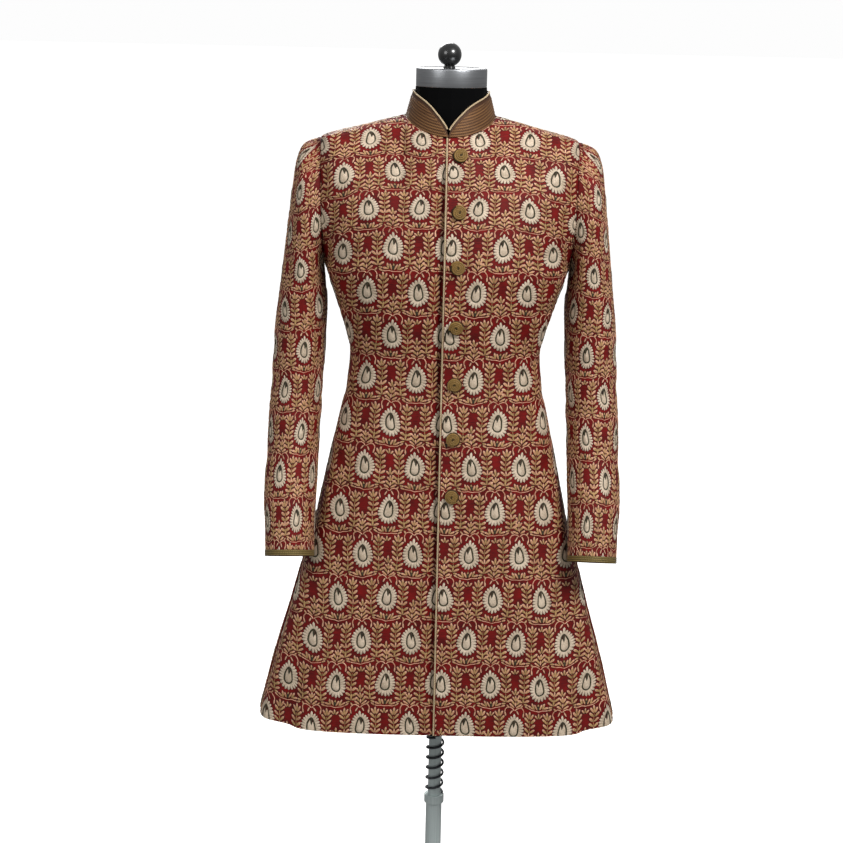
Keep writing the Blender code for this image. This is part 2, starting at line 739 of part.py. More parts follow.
def make_form(jersey):
    """The torso: front and back surfaces, arm plates, neck column and a foot with the rod's socket."""
    work = bmesh.new()
    quarters = []
    for face in ("front", "back"):
        grid = form_quarter(face)
        for turned in (np.array, mirrored):
            quarters.append(turned(grid))
    for grid in quarters:
        rows, columns = grid.shape[:2]
        made = [[work.verts.new(p) for p in row] for row in grid]
        for row in range(rows - 1):
            for column in range(columns - 1):
                low, high = made[row], made[row + 1]
                work.faces.new((low[column], low[column + 1], high[column + 1], high[column]))
    bmesh.ops.remove_doubles(work, verts=work.verts, dist=1e-5)
    work.verts.ensure_lookup_table()

    def open_loop(test):
        """The border edges whose ends all pass the test."""
        return [e for e in work.edges if e.is_boundary and all(test(v.co) for v in e.verts)]

    for side in (1, -1):
        tip_x = SHOULDER_TIP[0]
        loop = open_loop(lambda co: side * co.x > tip_x * 0.9 and co.z > ARMPIT_Z - 0.02)
        bmesh.ops.edgeloop_fill(work, edges=loop)
    rim = open_loop(lambda co: co.z > NECK_SIDE_Z - NECK_FRONT_DROP - 0.001)
    for height, radius in NECK_COLUMN:
        grown = bmesh.ops.extrude_edge_only(work, edges=rim)["geom"]
        for vertex in [g for g in grown if isinstance(g, bmesh.types.BMVert)]:
            turn = math.atan2(vertex.co.y - NECK_MIDDLE_Y * (height < 1.52), vertex.co.x)
            vertex.co = (radius * math.cos(turn), radius * math.sin(turn), height)
        rim = [g for g in grown if isinstance(g, bmesh.types.BMEdge)]
    bmesh.ops.edgeloop_fill(work, edges=rim)

    foot = open_loop(lambda co: co.z < FORM_BOTTOM_Z + 0.02)
    socket_radius = ROD_RADIUS + SEAM_GAP
    for radius, height in ((socket_radius, FORM_BOTTOM_Z), (socket_radius, ROD_TOP_Z + SEAM_GAP)):
        grown = bmesh.ops.extrude_edge_only(work, edges=foot)["geom"]
        for vertex in [g for g in grown if isinstance(g, bmesh.types.BMVert)]:
            turn = math.atan2(vertex.co.y, vertex.co.x)
            vertex.co = (radius * math.cos(turn), radius * math.sin(turn), height)
        foot = [g for g in grown if isinstance(g, bmesh.types.BMEdge)]
    bmesh.ops.edgeloop_fill(work, edges=foot)
    bmesh.ops.recalc_face_normals(work, faces=work.faces)
    mesh = bpy.data.meshes.new("form_torso")
    work.to_mesh(mesh)
    work.free()
    mesh.shade_smooth()
    mesh.set_sharp_from_angle(angle=math.radians(50))
    mesh.materials.append(jersey)
    torso = bpy.data.objects.new("form_torso", mesh)
    bpy.context.scene.collection.objects.link(torso)


def make_cap_and_knob(steel, black_wood):
    top = CAP_BOTTOM_Z + CAP_HEIGHT
    edge = 0.0012
    lathe(
        "neck_cap",
        [
            (0.0, CAP_BOTTOM_Z),
            (CAP_RADIUS - edge, CAP_BOTTOM_Z),
            (CAP_RADIUS, CAP_BOTTOM_Z + edge),
            (CAP_RADIUS, top - edge),
            (CAP_RADIUS - edge, top),
            (CAP_RADIUS - 3 * edge, top),
            (CAP_RADIUS - 4 * edge, top - edge),
            (0.0, top - edge),
        ],
        steel,
    )
    foot = top - edge + SEAM_GAP
    middle = foot + KNOB_STEM + KNOB_RADIUS * 0.93
    start = math.asin(KNOB_STEM_RADIUS / KNOB_RADIUS)
    rings = 9
    turns = [math.pi - start - (math.pi - start) * step / rings for step in range(rings)]
    ball = [(KNOB_RADIUS * math.sin(turn), middle + KNOB_RADIUS * math.cos(turn)) for turn in turns]
    profile = [(0.0, foot), (KNOB_STEM_RADIUS * 1.25, foot), *ball, (0.0, middle + KNOB_RADIUS)]
    knob = lathe("cap_knob", profile, black_wood, sides=20)
    for vertex in knob.data.vertices:
        vertex.co.x += KNOB_X


# ---------------------------------------------------------------- the stand


def make_base(painted):
    socket = TUBE_RADIUS + SEAM_GAP
    lathe(
        "base",
        [
            (0.0, 0.0),
            (BASE_RADIUS - 0.002, 0.0),
            (BASE_RADIUS, 0.002),
            (BASE_RADIUS, 0.006),
            (BASE_RADIUS - 0.004, 0.009),
            (0.040, 0.013),
            (0.028, 0.018),
            (0.024, 0.050),
            (0.022, 0.052),
            (socket, 0.052),
            (socket, BASE_SOCKET_Z),
            (0.0, BASE_SOCKET_Z),
        ],
        painted,
        sides=BASE_SIDES,
    )


def ring_profile(inside, outside, low, high, edge=0.0008):
    return [
        (inside, low),
        (outside - edge, low),
        (outside, low + edge),
        (outside, high - edge),
        (outside - edge, high),
        (inside, high),
    ]


def make_stand(chrome, painted, spring_steel, black_ring):
    bore = ROD_RADIUS + SEAM_GAP
    make_base(painted)
    lathe("outer_tube", ring_profile(bore, TUBE_RADIUS, BASE_SOCKET_Z + SEAM_GAP, TUBE_TOP_Z), chrome)
    collar_low = TUBE_TOP_Z + SEAM_GAP
    collar_high = collar_low + TUBE_COLLAR_HEIGHT
    lathe("tube_collar", ring_profile(bore, TUBE_RADIUS + 0.0035, collar_low, collar_high), chrome)
    spring_low = collar_high + SEAM_GAP + SPRING_WIRE
    spring_high = STOP_RING_BOTTOM_Z - SEAM_GAP - SPRING_WIRE
    steps = round(SPRING_TURNS * SPRING_STEPS)
    helix = []
    for step in range(steps + 1):
        share = step / steps
        turn = 2 * math.pi * SPRING_TURNS * share
        eased = spring_low + (spring_high - spring_low) * share
        helix.append((SPRING_RADIUS * math.cos(turn), SPRING_RADIUS * math.sin(turn), eased))
    tube_along("spring", helix, SPRING_WIRE, 6, spring_steel, np.array([0.0, 0.0, 1.0]))
    stop_high = STOP_RING_BOTTOM_Z + STOP_RING_HEIGHT
    stop_radius = SPRING_RADIUS + SPRING_WIRE
    lathe("stop_ring", ring_profile(bore, stop_radius, STOP_RING_BOTTOM_Z, stop_high), black_ring)
    edge = 0.001
    lathe(
        "inner_rod",
        [
            (0.0, ROD_BOTTOM_Z),
            (ROD_RADIUS - edge, ROD_BOTTOM_Z),
            (ROD_RADIUS, ROD_BOTTOM_Z + edge),
            (ROD_RADIUS, ROD_TOP_Z - edge),
            (ROD_RADIUS - edge, ROD_TOP_Z),
            (0.0, ROD_TOP_Z),
        ],
        chrome,
    )


def main():
    clear_scene()
    brocade = material("embroidered_red_silk", (0.22, 0.03, 0.03), 0.8)
    band = material("olive_gold_band", (0.24, 0.16, 0.06), 0.7)
    corded = material("bronze_gold_cording", (0.27, 0.16, 0.06), 0.65)
    piping = material("cream_gold_piping", (0.55, 0.43, 0.22), 0.6)
    wound = material("wound_gold_cord", (0.26, 0.18, 0.07), 0.65)
    jersey = material("black_jersey", (0.01, 0.01, 0.011), 0.9)
    steel = material("brushed_steel", (0.55, 0.56, 0.58), 0.35, 1.0)
    black_wood = material("black_lacquered_wood", (0.012, 0.012, 0.013), 0.3)
    chrome = material("chrome_tube", (0.7, 0.71, 0.72), 0.15, 1.0)
    painted = material("grey_painted_steel", (0.12, 0.12, 0.13), 0.45, 0.3)
    spring_steel = material("dark_spring_steel", (0.09, 0.09, 0.1), 0.4, 0.9)
    black_ring = material("black_rubber", (0.015, 0.015, 0.015), 0.7)

    left_outer = make_fronts(brocade)
    make_backs(brocade)
    make_sleeves(brocade, band)
    make_collar(corded, piping)
    make_front_piping(left_outer, piping)
    make_buttons(wound)
    make_form(jersey)
    make_cap_and_knob(steel, black_wood)
    make_stand(chrome, painted, spring_steel, black_ring)


main()
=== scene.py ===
# %% [markdown]
# # A sherwani coat on a dress form
#
# A sherwani is a knee-length coat of south Asian dress, buttoned down the centre front to a stand collar.
# This one is red raw silk, covered all over with embroidery in silk floss, and it hangs on a limbless dress
# form that stands on a telescoping pole.
#
# The construction is already there as CAD solids. This lesson dresses them: it lays a fine shell on each
# plain cloth solid, stitches the pattern on it thread by thread, and gives every surface the finish of its
# real material. Nothing is moved or resized, so each new piece lands where its solid is.

# %% The frame
import math
from collections import namedtuple

import bmesh
import bpy
import numpy as np
from mathutils import Matrix, Vector


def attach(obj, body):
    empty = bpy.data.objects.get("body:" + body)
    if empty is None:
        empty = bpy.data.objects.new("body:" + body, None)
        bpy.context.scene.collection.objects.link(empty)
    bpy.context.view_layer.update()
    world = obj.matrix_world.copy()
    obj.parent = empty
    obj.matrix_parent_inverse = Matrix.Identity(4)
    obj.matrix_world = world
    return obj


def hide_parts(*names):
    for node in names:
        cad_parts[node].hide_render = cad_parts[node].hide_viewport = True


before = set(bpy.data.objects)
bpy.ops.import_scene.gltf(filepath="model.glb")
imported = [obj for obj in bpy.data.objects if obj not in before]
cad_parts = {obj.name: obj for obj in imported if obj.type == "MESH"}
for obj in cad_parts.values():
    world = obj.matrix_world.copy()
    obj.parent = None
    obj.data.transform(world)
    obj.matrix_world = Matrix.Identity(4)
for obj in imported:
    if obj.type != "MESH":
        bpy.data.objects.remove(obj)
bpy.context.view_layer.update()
COAT_BODY = "form"
STAND_BODY = "stand"

# %% [markdown]
# ## The studio
#
# The coat is seen from in front, a little above the height of the eyes, with a longer lens, so that its
# upright lines stay nearly parallel. A camera could be aimed with a constraint, but a fixed place and three
# turns are easier to read and never move by themselves. The floor is one wide pale disc. Cloth looks best
# in light from large soft sources: small ones would make every thread glitter.

# %% Camera
CAMERA_PLACE = (-0.0380, -3.12, 1.7116)
CAMERA_DOWN_DEG = 13.4
CAMERA_ROLL_DEG = 1.25
SENSOR_MM = 36.0
LENS_MM = 1829 / 843 * SENSOR_MM
FAR_LIMIT = 50.0

camera_data = bpy.data.cameras.new("studio_camera")
camera_data.sensor_width = SENSOR_MM
camera_data.lens = LENS_MM
camera_data.clip_end = FAR_LIMIT
camera = bpy.data.objects.new("studio_camera", camera_data)
bpy.context.scene.collection.objects.link(camera)
tilt = Matrix.Rotation(math.radians(90 - CAMERA_DOWN_DEG), 4, "X")
roll = Matrix.Rotation(math.radians(CAMERA_ROLL_DEG), 4, "Z")
camera.matrix_world = Matrix.Translation(CAMERA_PLACE) @ tilt @ roll
bpy.context.scene.camera = camera
print("lens of", round(LENS_MM, 1), "mm")


# %% Colours and nodes
def linear(hex_colour):
    """An sRGB hex colour as the linear colour that Blender mixes with."""
    shares = [int(hex_colour[start:start + 2], 16) / 255 for start in (1, 3, 5)]
    return (*[s / 12.92 if s <= 0.04045 else ((s + 0.055) / 1.055) ** 2.4 for s in shares], 1.0)


def add_node(material, kind, inputs=(), **settings):
    """Adds a node, with its settings, and each input either linked to a socket or set to a value."""
    node = material.node_tree.nodes.new(kind)
    for name, value in settings.items():
        setattr(node, name, value)
    for name, value in dict(inputs).items():
        if isinstance(value, bpy.types.NodeSocket):
            material.node_tree.links.new(value, node.inputs[name])
        else:
            node.inputs[name].default_value = value
    return node


def new_finish(name, **constants):
    """A material with its shader's own constants set, and its parts: material, shader and output."""
    material = bpy.data.materials.new(name)
    material.use_nodes = True
    shader = material.node_tree.nodes["Principled BSDF"]
    for socket, value in constants.items():
        shader.inputs[socket.replace("_", " ")].default_value = value
    return material, shader


def into(material, source, shader, socket):
    material.node_tree.links.new(source, shader.inputs[socket])


def two_tones(material, share, low_hex, high_hex):
    """A colour between two, by a share from 0 to 1."""
    ramp = add_node(material, "ShaderNodeValToRGB", {"Fac": share})
    ramp.color_ramp.elements[0].color = linear(low_hex)
    ramp.color_ramp.elements[1].color = linear(high_hex)
    return ramp


print("linear red", [round(v, 3) for v in linear("#8a0f18")])

# %% Floor and light
FLOOR_RADIUS = 60.0
PALE = "#fafaf9"
FLOOR_GLOW = 0.66
SKY_SHARE, GROUND_SHARE = 0.52, 0.11

bpy.ops.object.select_all(action="DESELECT")
bpy.ops.mesh.primitive_circle_add(vertices=96, radius=FLOOR_RADIUS, fill_type="NGON", location=(0, 0, 0))
floor = bpy.context.object
floor.name = "studio_floor"
floor_paint, floor_shader = new_finish("pale_matt_paint", Roughness=0.9, Emission_Strength=FLOOR_GLOW)
floor_shader.inputs["Emission Color"].default_value = linear(PALE)
floor_place = add_node(floor_paint, "ShaderNodeTexCoord")
floor_mottle = add_node(
    floor_paint, "ShaderNodeTexNoise", {"Vector": floor_place.outputs["Object"], "Scale": 0.7}
)
floor_tone = two_tones(floor_paint, floor_mottle.outputs["Fac"], "#f8f7f6", PALE)
into(floor_paint, floor_tone.outputs["Color"], floor_shader, "Base Color")
floor.data.materials.append(floor_paint)
floor.visible_diffuse = False
floor.visible_glossy = False

# The air is white to the eye, but lights the coat more from above than from below, as a room does.
world = bpy.data.worlds.new("studio_air")
world.use_nodes = True
air = world.node_tree.nodes["Background"]
air.inputs["Color"].default_value = linear("#fdfdfd")
seen = add_node(world, "ShaderNodeLightPath").outputs["Is Camera Ray"]
direction = add_node(world, "ShaderNodeTexCoord").outputs["Generated"]
level = add_node(world, "ShaderNodeSeparateXYZ", {0: direction}).outputs["Z"]
soft = add_node(world, "ShaderNodeMapRange", {0: level, 1: -0.7, 2: 0.7, 3: GROUND_SHARE, 4: SKY_SHARE})
strength = add_node(world, "ShaderNodeMix", {0: seen, 2: soft.outputs[0], 3: 1.0})
world.node_tree.links.new(strength.outputs[0], air.inputs["Strength"])
bpy.context.scene.world = world
bpy.context.scene.view_settings.view_transform = "Standard"

SoftLight = namedtuple("SoftLight", "name place aim size watts")
LIGHTS = [
    SoftLight("key_softbox", (1.5, -2.0, 3.2), (0, 0, 1.4), 1.2, 92),
    SoftLight("fill_softbox", (-2.1, -2.2, 2.6), (0, 0, 1.3), 1.5, 24),
    SoftLight("back_softbox", (-0.4, 2.6, 2.7), (0, 0, 1.0), 1.6, 44),
]
for light in LIGHTS:
    lamp = bpy.data.lights.new(light.name, "AREA")
    lamp.shape = "DISK"
    lamp.size = light.size
    lamp.energy = light.watts
    stand = bpy.data.objects.new(light.name, lamp)
    stand.location = light.place
    stand.rotation_euler = (Vector(light.aim) - Vector(light.place)).to_track_quat("-Z", "Y").to_euler()
    bpy.context.scene.collection.objects.link(stand)
print("lights", [light.name for light in LIGHTS])

# %% [markdown]
# ## The cut of the coat
#
# Cloth has no thickness to speak of, but it has a shape: here the sections of the body at thirteen heights,
# the neckline, the shoulder seam and the armhole. These are the same few numbers that the solids were
# worked out from. Reading them again, as smooth curves, gives a surface that follows each solid but is as
# fine as the light needs. Scaling or smoothing the coarse solids would lose the edges where pieces meet.

# %% Named sizes, in metres
CLOTH = 0.002
SEAM_GAP = 0.0003
HEM_Z = 0.452
ARMPIT_Z = 1.249
FRONT_EDGE_X = -0.004
UNDERLAP = 0.030
LAP_STEP = (0.008, 0.020)
LAP_DEPTH = CLOTH + 0.0005
LAP_GROOVE_BANK = (0.0155, 0.0225)
LAP_GROOVE_DEPTH = 0.0085
LAP_BULGE = 0.0016

Section = namedtuple("Section", "z half_width front_y side_y back_y front_power back_power")
BODY = [
    Section(0.452, 0.312, -0.172, -0.062, 0.176, 3.3, 2.7),
    Section(0.551, 0.288, -0.163, -0.050, 0.169, 3.1, 2.7),
    Section(0.639, 0.264, -0.154, -0.042, 0.161, 2.9, 2.6),
    Section(0.703, 0.2476, -0.148, -0.035, 0.154, 2.8, 2.6),
    Section(0.810, 0.2194, -0.138, -0.024, 0.142, 2.6, 2.5),
    Section(0.895, 0.201, -0.131, -0.016, 0.129, 2.5, 2.4),
    Section(0.959, 0.187, -0.126, -0.010, 0.118, 2.45, 2.4),
    Section(1.022, 0.1728, -0.122, -0.005, 0.110, 2.4, 2.35),
    Section(1.064, 0.1650, -0.121, -0.002, 0.107, 2.4, 2.3),
    Section(1.107, 0.1665, -0.123, 0.000, 0.108, 2.4, 2.3),
    Section(1.149, 0.177, -0.128, 0.003, 0.113, 2.4, 2.3),
    Section(1.191, 0.192, -0.133, 0.006, 0.120, 2.45, 2.35),
    Section(1.249, 0.211, -0.138, 0.008, 0.128, 2.5, 2.4),
]
Flute = namedtuple("Flute", "azimuth_deg depth breadth_deg top_z")
FLUTES = [
    Flute(38, 0.003, 13, 0.80),
    Flute(57, -0.020, 14, 0.80),
    Flute(101, 0.006, 13, 0.84),
    Flute(121, -0.005, 9, 0.76),
    Flute(140, 0.007, 11, 0.88),
    Flute(160, -0.004, 8, 0.74),
]
# Each column of a panel: its angle round the section, and where it ends on the neckline or the shoulder seam.
Column = namedtuple("Column", "section_deg neck_deg shoulder_share")
COLUMNS = [
    Column(0, 0, 0),
    Column(5, 23, 0),
    Column(9.5, 42, 0),
    Column(14, 64, 0),
    Column(19, 90, 0),
    Column(26, 90, 0.20),
    Column(33, 90, 0.36),
    Column(41, 90, 0.52),
    Column(50, 90, 0.66),
    Column(59, 90, 0.78),
    Column(68, 90, 0.87),
    Column(79, 90, 0.95),
    Column(90, 90, 1.0),
]
NECK_HALF_WIDTH = 0.076
NECK_MIDDLE_Y = 0.006
NECK_FRONT_Y = -0.083
NECK_BACK_Y = 0.079
NECK_SIDE_Z = 1.500
NECK_FRONT_DROP = 0.031
NECK_BACK_DROP = 0.002
SHOULDER_TIP = (0.2175, 0.008, 1.4594)
SHOULDER_ARCH = 0.0012
NECK_ROUNDING = 1.7
SHOULDER_ROUNDING = 2.0
ARMHOLE_LEAN = 0.0065
ARMHOLE_FRONT = 0.068
ARMHOLE_BACK = 0.073
ARMHOLE_TURN_DEG = 30
MIRROR = np.array([-1.0, 1.0, 1.0])
print("sections", len(BODY), "columns", len(COLUMNS))


# %% Curves through the tables
def smooth_step(value, low, high):
    share = np.clip((value - low) / (high - low), 0.0, 1.0)
    return share * share * (3 - 2 * share)


def unit(vectors):
    return vectors / np.maximum(np.linalg.norm(vectors, axis=-1, keepdims=True), 1e-12)


def smooth_table(rows, key, value):
    """Reads a table of named tuples at `value` of its column `key`, by curves through its rows."""
    table = np.array(rows, dtype=float)
    column = rows[0]._fields.index(key)
    keys = table[:, column]
    value = min(max(value, keys[0]), keys[-1])
    index = min(int(np.searchsorted(keys, value, side="right")) - 1, len(keys) - 2)
    before, start, end, after = (table[min(max(i, 0), len(rows) - 1)] for i in range(index - 1, index + 3))
    span = keys[index + 1] - keys[index]
    share = (value - keys[index]) / span
    into_row = (end - before) / (end[column] - before[column]) * span
    out_of_row = (after - start) / (after[column] - start[column]) * span
    cube, square = share**3, share**2
    mixed = (
        (2 * cube - 3 * square + 1) * start
        + (cube - 2 * square + share) * into_row
        + (3 * square - 2 * cube) * end
        + (cube - square) * out_of_row
    )
    return type(rows[0])(*mixed)


def column_at(section_deg):
    """The column at an angle between the table's own."""
    degs = [column.section_deg for column in COLUMNS]
    return Column(*[np.interp(section_deg, degs, [c[i] for c in COLUMNS]) for i in range(len(COLUMNS[0]))])


print("waist half width", round(smooth_table(BODY, "z", 1.064).half_width * 1000), "mm")


# %% The surface of the body
def neckline_point(face, neck_deg):
    turn = math.radians(neck_deg)
    front = face == "front"
    reach = (NECK_FRONT_Y if front else NECK_BACK_Y) - NECK_MIDDLE_Y
    height = NECK_SIDE_Z - (NECK_FRONT_DROP if front else NECK_BACK_DROP) * max(math.cos(turn), 0.0) ** 1.3
    return np.array([NECK_HALF_WIDTH * math.sin(turn), NECK_MIDDLE_Y + reach * math.cos(turn), height])


def top_point(face, column):
    """Where a column ends, on the neckline or on the shoulder seam."""
    share = column.shoulder_share
    point = (1 - share) * neckline_point(face, column.neck_deg) + share * np.array(SHOULDER_TIP)
    return point + np.array([0.0, 0.0, 4 * SHOULDER_ARCH * share * (1 - share)])


def body_row(face, z, degs):
    """One level row below the armpit: its points at these angles round the section."""
    row = smooth_table(BODY, "z", z)
    power = row.front_power if face == "front" else row.back_power
    middle_y = row.front_y if face == "front" else row.back_y
    turn = np.radians(degs)
    share = np.sin(turn) ** (2 / power)
    curve = np.maximum(np.cos(turn), 0.0) ** (2 / power)
    outward = unit(np.stack([share, (middle_y - row.side_y) / row.half_width * curve, 0 * share], axis=1))
    azimuths = degs if face == "front" else 180 - degs
    depth = np.zeros(len(degs))
    for flute in FLUTES:
        near = np.exp(-(((azimuths - flute.azimuth_deg) / flute.breadth_deg) ** 2))
        depth += flute.depth * near * (1 - smooth_step(z, HEM_Z, flute.top_z))
    across = row.half_width * share
    along = row.side_y + (middle_y - row.side_y) * curve
    return np.stack([across, along, np.full(len(degs), z)], axis=1) + outward * depth[:, None]


def armhole_point(face, rise):
    """The armhole's edge, from the armpit (0) up to the shoulder tip (1)."""
    turn = math.pi * (1 - rise)
    tip_x, tip_y, tip_z = SHOULDER_TIP
    reach = -ARMHOLE_FRONT if face == "front" else ARMHOLE_BACK
    lean = ARMHOLE_LEAN / 2
    middle_z, half_height = (tip_z + ARMPIT_Z) / 2, (tip_z - ARMPIT_Z) / 2
    across, along = math.cos(turn), math.sin(turn)
    return np.array([tip_x - lean + lean * across, tip_y + reach * along, middle_z + half_height * across])


def chest_row(face, rise, degs):
    """One row above the armpit, which climbs from the armhole towards the shoulder and the neck."""
    row = BODY[-1]
    edge = armhole_point(face, rise)
    power = row.front_power if face == "front" else row.back_power
    middle_y = row.front_y if face == "front" else row.back_y
    tops = np.array([top_point(face, column_at(deg)) for deg in degs])
    if rise >= 1:
        return tops
    last = math.radians(90 - ARMHOLE_TURN_DEG * math.sin(math.pi * rise))
    turn = last * degs / 90
    share = (np.sin(turn) / math.sin(last)) ** (2 / power)
    low_curve = max(math.cos(last), 0.0) ** (2 / power)
    curve = (np.maximum(np.cos(turn), 0.0) ** (2 / power) - low_curve) / (1 - low_curve)
    foot_share = np.sin(np.radians(degs)) ** (2 / power)
    towards_edge = foot_share**6
    rounding = NECK_ROUNDING + (SHOULDER_ROUNDING - NECK_ROUNDING) * foot_share
    turn_in = (1 - (1 - rise**rounding) ** (1 / rounding)) * (1 - towards_edge)
    across = edge[0] * share
    along = edge[1] + (middle_y - edge[1]) * curve
    edge_rise = (edge[2] - ARMPIT_Z) / (SHOULDER_TIP[2] - ARMPIT_Z)
    height_share = (1 - towards_edge) * rise + towards_edge * edge_rise
    settle = smooth_step(rise, 0.0, 1.0) * (1 - towards_edge)
    points = np.stack([across, along, ARMPIT_Z + (tops[:, 2] - ARMPIT_Z) * height_share], axis=1)
    points[:, 0] += (tops[:, 0] - across) * settle
    points[:, 1] += (tops[:, 1] - along) * turn_in
    return points


print("armpit half width", round(body_row("front", ARMPIT_Z, np.array([90.0]))[0, 0] * 1000), "mm")

# %% [markdown]
# ## Fine shells for the cloth pieces
#
# Each front, back and sleeve is a wall of lined cloth. It could be a subdivided copy of its solid, but that
# rounds off the edges that meet in seams. So it is made in mesh code, as a grid of rows and columns on the
# smooth surface, with a lining face a little inside and a closed edge all round. Every point also knows how
# far it is across and up the cloth: the weave, the creases and the embroidery are all laid out by those two
# numbers, as they would be on the cutting table.


# %% Meshes from grids
def new_piece(name, points, quads, finishes, tris=None, slots=None, uvs=None, sharp_deg=40.0):
    """Makes a mesh object from arrays of points and faces, with a UV for each point, in metres of cloth."""
    tris = np.zeros((0, 3), dtype=int) if tris is None else tris
    corners = np.concatenate([quads.ravel(), tris.ravel()]).astype(np.int32)
    sizes = np.concatenate([np.full(len(quads), 4), np.full(len(tris), 3)])
    mesh = bpy.data.meshes.new(name)
    mesh.vertices.add(len(points))
    mesh.vertices.foreach_set("co", points.astype(np.float32).ravel())
    mesh.loops.add(len(corners))
    mesh.loops.foreach_set("vertex_index", corners)
    mesh.polygons.add(len(sizes))
    mesh.polygons.foreach_set("loop_start", (np.cumsum(sizes) - sizes).astype(np.int32))
    if slots is not None:
        mesh.polygons.foreach_set("material_index", slots.astype(np.int32))
    if uvs is not None:
        layer = mesh.uv_layers.new(name="cloth_metres")
        layer.data.foreach_set("uv", uvs[corners].astype(np.float32).ravel())
    mesh.update(calc_edges=True)
    mesh.shade_smooth()
    mesh.set_sharp_from_angle(angle=math.radians(sharp_deg))
    for finish in finishes:
        mesh.materials.append(finish)
    piece = bpy.data.objects.new(name, mesh)
    bpy.context.scene.collection.objects.link(piece)
    return piece


def grid_normals(grid, outward):
    across = np.gradient(grid, axis=1)
    up = np.gradient(grid, axis=0)
    return unit(np.cross(across, up)) * outward


def grid_quads(rows, columns, closed=False):
    """The faces between rows and columns; a closed grid runs round on itself in each row."""
    spans = columns if closed else columns - 1
    row, column = np.meshgrid(np.arange(rows - 1), np.arange(spans), indexing="ij")
    after = (column + 1) % columns
    low, high = row * columns, (row + 1) * columns
    corners = [low + column, low + after, high + after, high + column]
    return np.stack(corners, axis=-1).reshape(-1, 4)


def edge_quads(near, far):
    """Faces between two lines of point numbers of the same length."""
    return np.stack([near[:-1], near[1:], far[1:], far[:-1]], axis=1)


def cloth_wall(name, outer, inner, uvs, finish, outward, closed=False):
    """A closed wall of cloth between an outer and an inner grid."""
    rows, columns = outer.shape[:2]
    count = rows * columns
    faces = grid_quads(rows, columns, closed)
    quads = [faces, faces[:, ::-1] + count]
    number = np.arange(count).reshape(rows, columns)
    low, high = number[0], number[-1]
    if closed:
        low, high = np.append(low, low[0]), np.append(high, high[0])
    quads += [edge_quads(low, low + count)[:, ::-1], edge_quads(high, high + count)]
    if not closed:
        left, right = number[:, 0], number[:, -1]
        quads += [edge_quads(left, left + count), edge_quads(right, right + count)[:, ::-1]]
    quads = np.concatenate(quads)
    if outward < 0:
        quads = quads[:, ::-1]
    points = np.concatenate([outer.reshape(-1, 3), inner.reshape(-1, 3)])
    flat_uvs = uvs.reshape(-1, 2)
    return new_piece(name, points, quads, [finish], uvs=np.concatenate([flat_uvs, flat_uvs]))


def one_side_area(grid):
    """Square metres of a grid's surface."""
    first = np.cross(grid[:-1, 1:] - grid[:-1, :-1], grid[1:, :-1] - grid[:-1, :-1])
    second = np.cross(grid[:-1, 1:] - grid[1:, 1:], grid[1:, :-1] - grid[1:, 1:])
    return float((np.linalg.norm(first, axis=-1) + np.linalg.norm(second, axis=-1)).sum() / 2)


print("faces of a 3 by 4 grid", len(grid_quads(3, 4)))

# %% [markdown]
# ### Creases
#
# Embroidered silk with a lining is stiff, so it breaks into few, broad and shallow folds: at the front of the
# armpit, at the side of the waist, at the elbow, and as slow waves in the skirt. Each crease here is a line
# across the cloth with a breadth and a depth that fades out at both ends. A cloth simulation would find such
# folds too, but not where this coat has them.

# %% Creases of the body, in millimetres across and up the cloth
Crease = namedtuple("Crease", "from_u from_v to_u to_v breadth depth")
BODY_CREASES = [
    Crease(232, 1228, 176, 1372, 10, 4.5),
    Crease(214, 1262, 150, 1392, 13, -2.0),
    Crease(228, 1205, 150, 1168, 13, 2.4),
    Crease(222, 1108, 128, 1083, 12, 2.6),
    Crease(216, 1062, 96, 1046, 14, -1.6),
    Crease(218, 1030, 140, 1010, 11, 2.2),
    Crease(70, 1330, 74, 1090, 26, -1.6),
    Crease(112, 990, 150, 600, 24, -2.6),
    Crease(162, 900, 214, 470, 22, 3.2),
    Crease(205, 860, 268, 480, 20, -2.8),
    Crease(250, 800, 330, 470, 17, 3.0),
    Crease(40, 900, 52, 500, 30, 1.8),
    Crease(205, 980, 236, 700, 14, 2.0),
]
SLEEVE_CREASES = [
    Crease(60, 1120, 200, 1078, 15, 2.2),
    Crease(470, 1088, 350, 1046, 13, 3.2),
    Crease(30, 1052, 505, 1012, 11, 2.6),
    Crease(300, 1000, 420, 962, 14, 2.4),
    Crease(20, 962, 130, 918, 15, 1.8),
    Crease(330, 1225, 440, 1140, 14, 2.6),
    Crease(120, 1330, 60, 1180, 22, -1.8),
    Crease(160, 900, 300, 850, 16, 1.6),
    Crease(400, 1290, 470, 1180, 16, 2.4),
]
SEAM_SINK_MM = 0.7
SEAM_BREADTH_MM = 6.0
PUCKER_MM = 0.35


def crease_depth(creases, across_mm, up_mm):
    """How deep the creases press the cloth in, in metres, at these places."""
    depth = np.zeros(across_mm.shape)
    for crease in creases:
        start = np.array([crease.from_u, crease.from_v])
        run = np.array([crease.to_u, crease.to_v]) - start
        length = np.linalg.norm(run)
        along = ((across_mm - start[0]) * run[0] + (up_mm - start[1]) * run[1]) / length
        aside = ((across_mm - start[0]) * run[1] - (up_mm - start[1]) * run[0]) / length
        share = np.clip(along / length, -0.25, 1.25)
        fade = np.clip(1 - (np.abs(share - 0.5) / 0.72) ** 2, 0, 1) ** 1.5
        depth += crease.depth * fade * np.exp(-((aside / crease.breadth) ** 2))
    ripple = np.sin(across_mm / 9.1 + 2 * np.sin(up_mm / 31))
    ripple *= np.sin(up_mm / 11.3 + 2 * np.sin(across_mm / 27))
    return (depth + PUCKER_MM * ripple) / 1000


print("creases", len(BODY_CREASES), "and", len(SLEEVE_CREASES))

